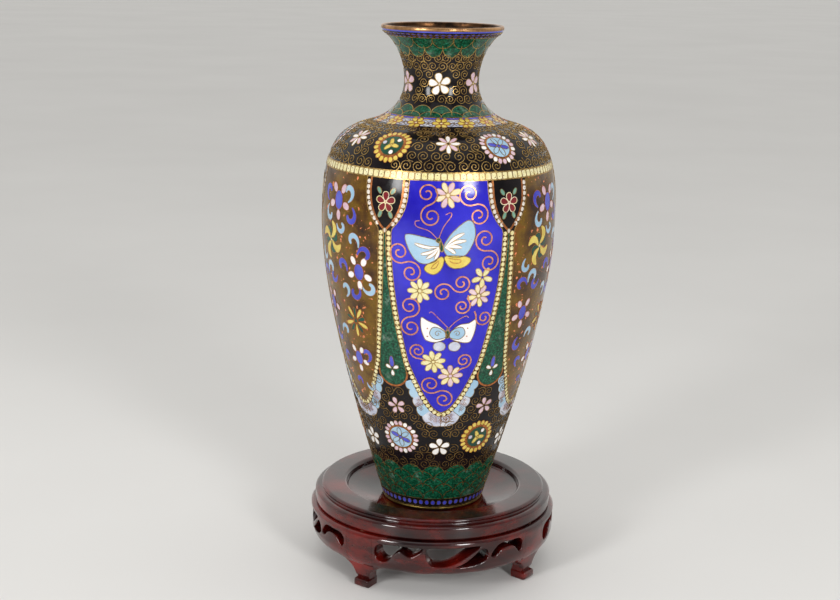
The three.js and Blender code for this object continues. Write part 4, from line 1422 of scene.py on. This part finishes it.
def apron(index):
    """A fretted apron: curling branches between four openings."""
    half = [(QUARTER / 2 - x, y) for x, y in lower_edge() if x > 6]
    low = [(-x, y) for x, y in half] + half[-2::-1]
    body = low + [(half[0][0], FRAME_HIGH), (-half[0][0], FRAME_HIGH)]
    openings = [
        [(-40, 20.5), (-39.4, 24.2), (-36.5, 26), (-30, 26.4), (-22, 26.4), (-16.5, 26.2), (-15.2, 25.2),
         (-18.5, 22.6), (-21.5, 21.2), (-24, 22.2), (-26.5, 23.6), (-29.5, 22.2), (-31.5, 19.6), (-34, 17.4),
         (-37.6, 17.2)],
        [(-13.6, 21), (-13.8, 24.6), (-12, 26.2), (-4, 26.4), (6, 26.4), (12.6, 26.4), (12.9, 25.4),
         (8.5, 22.6), (3.5, 19.6), (-1, 17.4), (-6, 16.5), (-11, 17.2)],
        [(1.6, 16.3), (5.4, 18), (10, 21.2), (13.6, 24.2), (16.6, 24.4), (18, 21.6), (16.8, 18.8),
         (12, 16.8), (6, 15.9)],
        [(19.6, 20.2), (21.5, 23.5), (25, 26), (31, 26.2), (36.4, 26), (39.2, 24), (39.2, 20.6), (37.4, 18.8),
         (35.6, 20.6), (33.2, 22.8), (29, 23.3), (25.5, 22.4), (22.2, 19.8)],
    ]
    holes = [list(map(tuple, smooth_path(points, 4, closed=True))) for points in openings]
    bent_plate(f"apron_{index + 1}_carved", [body] + holes, math.radians(LEG_AZIMUTH + 45 + 90 * index),
               [f"apron_{index + 1}"], QUARTER / 2 - LEG_HALF - 0.1, 0.5)


def stand_top():
    low, high = (corner.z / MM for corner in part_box("stand_top"))
    under = FRAME_HIGH + 0.3
    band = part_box("stand_top")[1].x / MM
    band_top = under + 6.7
    disc_radius = band - 3.3
    recess, floor = 44.3, high - 7.6
    profile = rounded([
        (0, low, 0), (46, low, 0.5), (46, under, 0.2), (band - 0.6, under, 0.3), (band, under + 0.9, 1.2),
        (band, band_top - 0.8, 1.0), (band - 0.9, band_top + 0.1, 0.6),
        (disc_radius - 0.2, band_top + 0.3, 0.3), (disc_radius - 0.4, band_top + 1.0, 0.4),
        (disc_radius, high - 0.8, 0.8), (disc_radius - 1.0, high, 0.8), (recess + 1.2, high, 0.8),
        (recess + 0.1, high - 0.9, 0.7), (recess - 0.3, high - 3.6, 0.6),
        (28, floor, 4), (0, floor, 0),
    ], 6)
    turned("stand_top_turned", profile, wood, "stand", ["stand_top"])


# ---------------------------------------------------------------- everything
def dress_frame_nodes():
    """The hidden CAD pieces keep their shape and get their own materials."""
    for name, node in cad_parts.items():
        if name.startswith("copper") or name == "base_plate":
            material = copper_sheet
        elif name.startswith("dowel"):
            material = bare_wood
        else:
            continue
        node.data.materials.clear()
        node.data.materials.append(material)


def make_vase():
    foot_dots()
    foot_scales()
    lower_ground()
    for i in range(PANELS):
        azimuth = FIRST_PANEL + i * PITCH
        number = 1 + i // 2
        if i % 2 == 0:
            scroll_panel(f"blue_panel_{number}_cells", azimuth, f"blue_panel_{number}")
        else:
            goldstone_panel(f"brown_panel_{number}_cells", azimuth, f"brown_panel_{number}")
        green_lobe(f"green_lobe_{i + 1}_cells", azimuth + PITCH / 2, f"green_lobe_{i + 1}")
        shield(f"shield_{i + 1}_cells", azimuth + PITCH / 2, f"shield_{i + 1}")
        panel_point(f"panel_point_{i + 1}", azimuth)
    cream_band()
    shoulder()
    collar()
    neck()
    mouth_border()
    rim_ring()
    foot_ring()
    lining()


def make_stand():
    stand_top()
    for i in range(4):
        leg(i)
        apron(i)


def soft_box(name, azimuth, elevation, distance, size, power):
    data = bpy.data.lights.new(name, "AREA")
    data.shape = "RECTANGLE"
    data.size, data.size_y = size
    data.energy = power
    light = bpy.data.objects.new(name, data)
    a, e = math.radians(azimuth), math.radians(elevation)
    target = Vector((0, 0, 0.16))
    light.location = target + distance * Vector((math.sin(a) * math.cos(e), -math.cos(a) * math.cos(e),
                                                 math.sin(e)))
    light.rotation_mode = "QUATERNION"
    light.rotation_quaternion = (target - light.location).to_track_quat("-Z", "Y")
    bpy.context.scene.collection.objects.link(light)


def make_studio():
    world = bpy.data.worlds.new("studio")
    world.use_nodes = True
    nodes, links = world.node_tree.nodes, world.node_tree.links
    place = nodes.new("ShaderNodeTexCoord")
    split = nodes.new("ShaderNodeSeparateXYZ")
    links.new(place.outputs["Generated"], split.inputs[0])
    ramp = nodes.new("ShaderNodeValToRGB")
    ramp.color_ramp.elements[0].position = 0.0
    ramp.color_ramp.elements[0].color = (0.26, 0.26, 0.27, 1)
    ramp.color_ramp.elements[1].position = 1.0
    ramp.color_ramp.elements[1].color = (0.98, 0.97, 0.94, 1)
    spread = nodes.new("ShaderNodeMapRange")
    spread.inputs["From Min"].default_value = -0.45
    spread.inputs["From Max"].default_value = 0.35
    links.new(split.outputs["Y"], spread.inputs["Value"])
    links.new(spread.outputs["Result"], ramp.inputs["Fac"])
    links.new(ramp.outputs["Color"], nodes["Background"].inputs["Color"])
    bpy.context.scene.world = world
    bpy.context.scene.view_settings.view_transform = "Standard"
    soft_box("left_box", -41, 17, 1.3, (0.24, 0.44), 9)
    soft_box("right_box", 29, 17, 1.3, (0.24, 0.44), 9)
    soft_box("top_fill", 0, 75, 1.6, (1.2, 1.2), 3)

    data = bpy.data.meshes.new("floor")
    size = 60.0
    data.from_pydata([(-size, -size, 0), (size, -size, 0), (size, size, 0), (-size, size, 0)], [],
                     [(0, 1, 2, 3)])
    floor = bpy.data.objects.new("floor", data)
    bpy.context.scene.collection.objects.link(floor)
    shade = Shader("floor_paint", 0.5)
    shade.colour(shade.ramp(shade.noise(3, 3), [(0.3, (0.66, 0.65, 0.63, 1)), (0.7, (0.70, 0.69, 0.67, 1))]))
    data.materials.append(shade.material)


dress_frame_nodes()
make_vase()
make_stand()
make_studio()
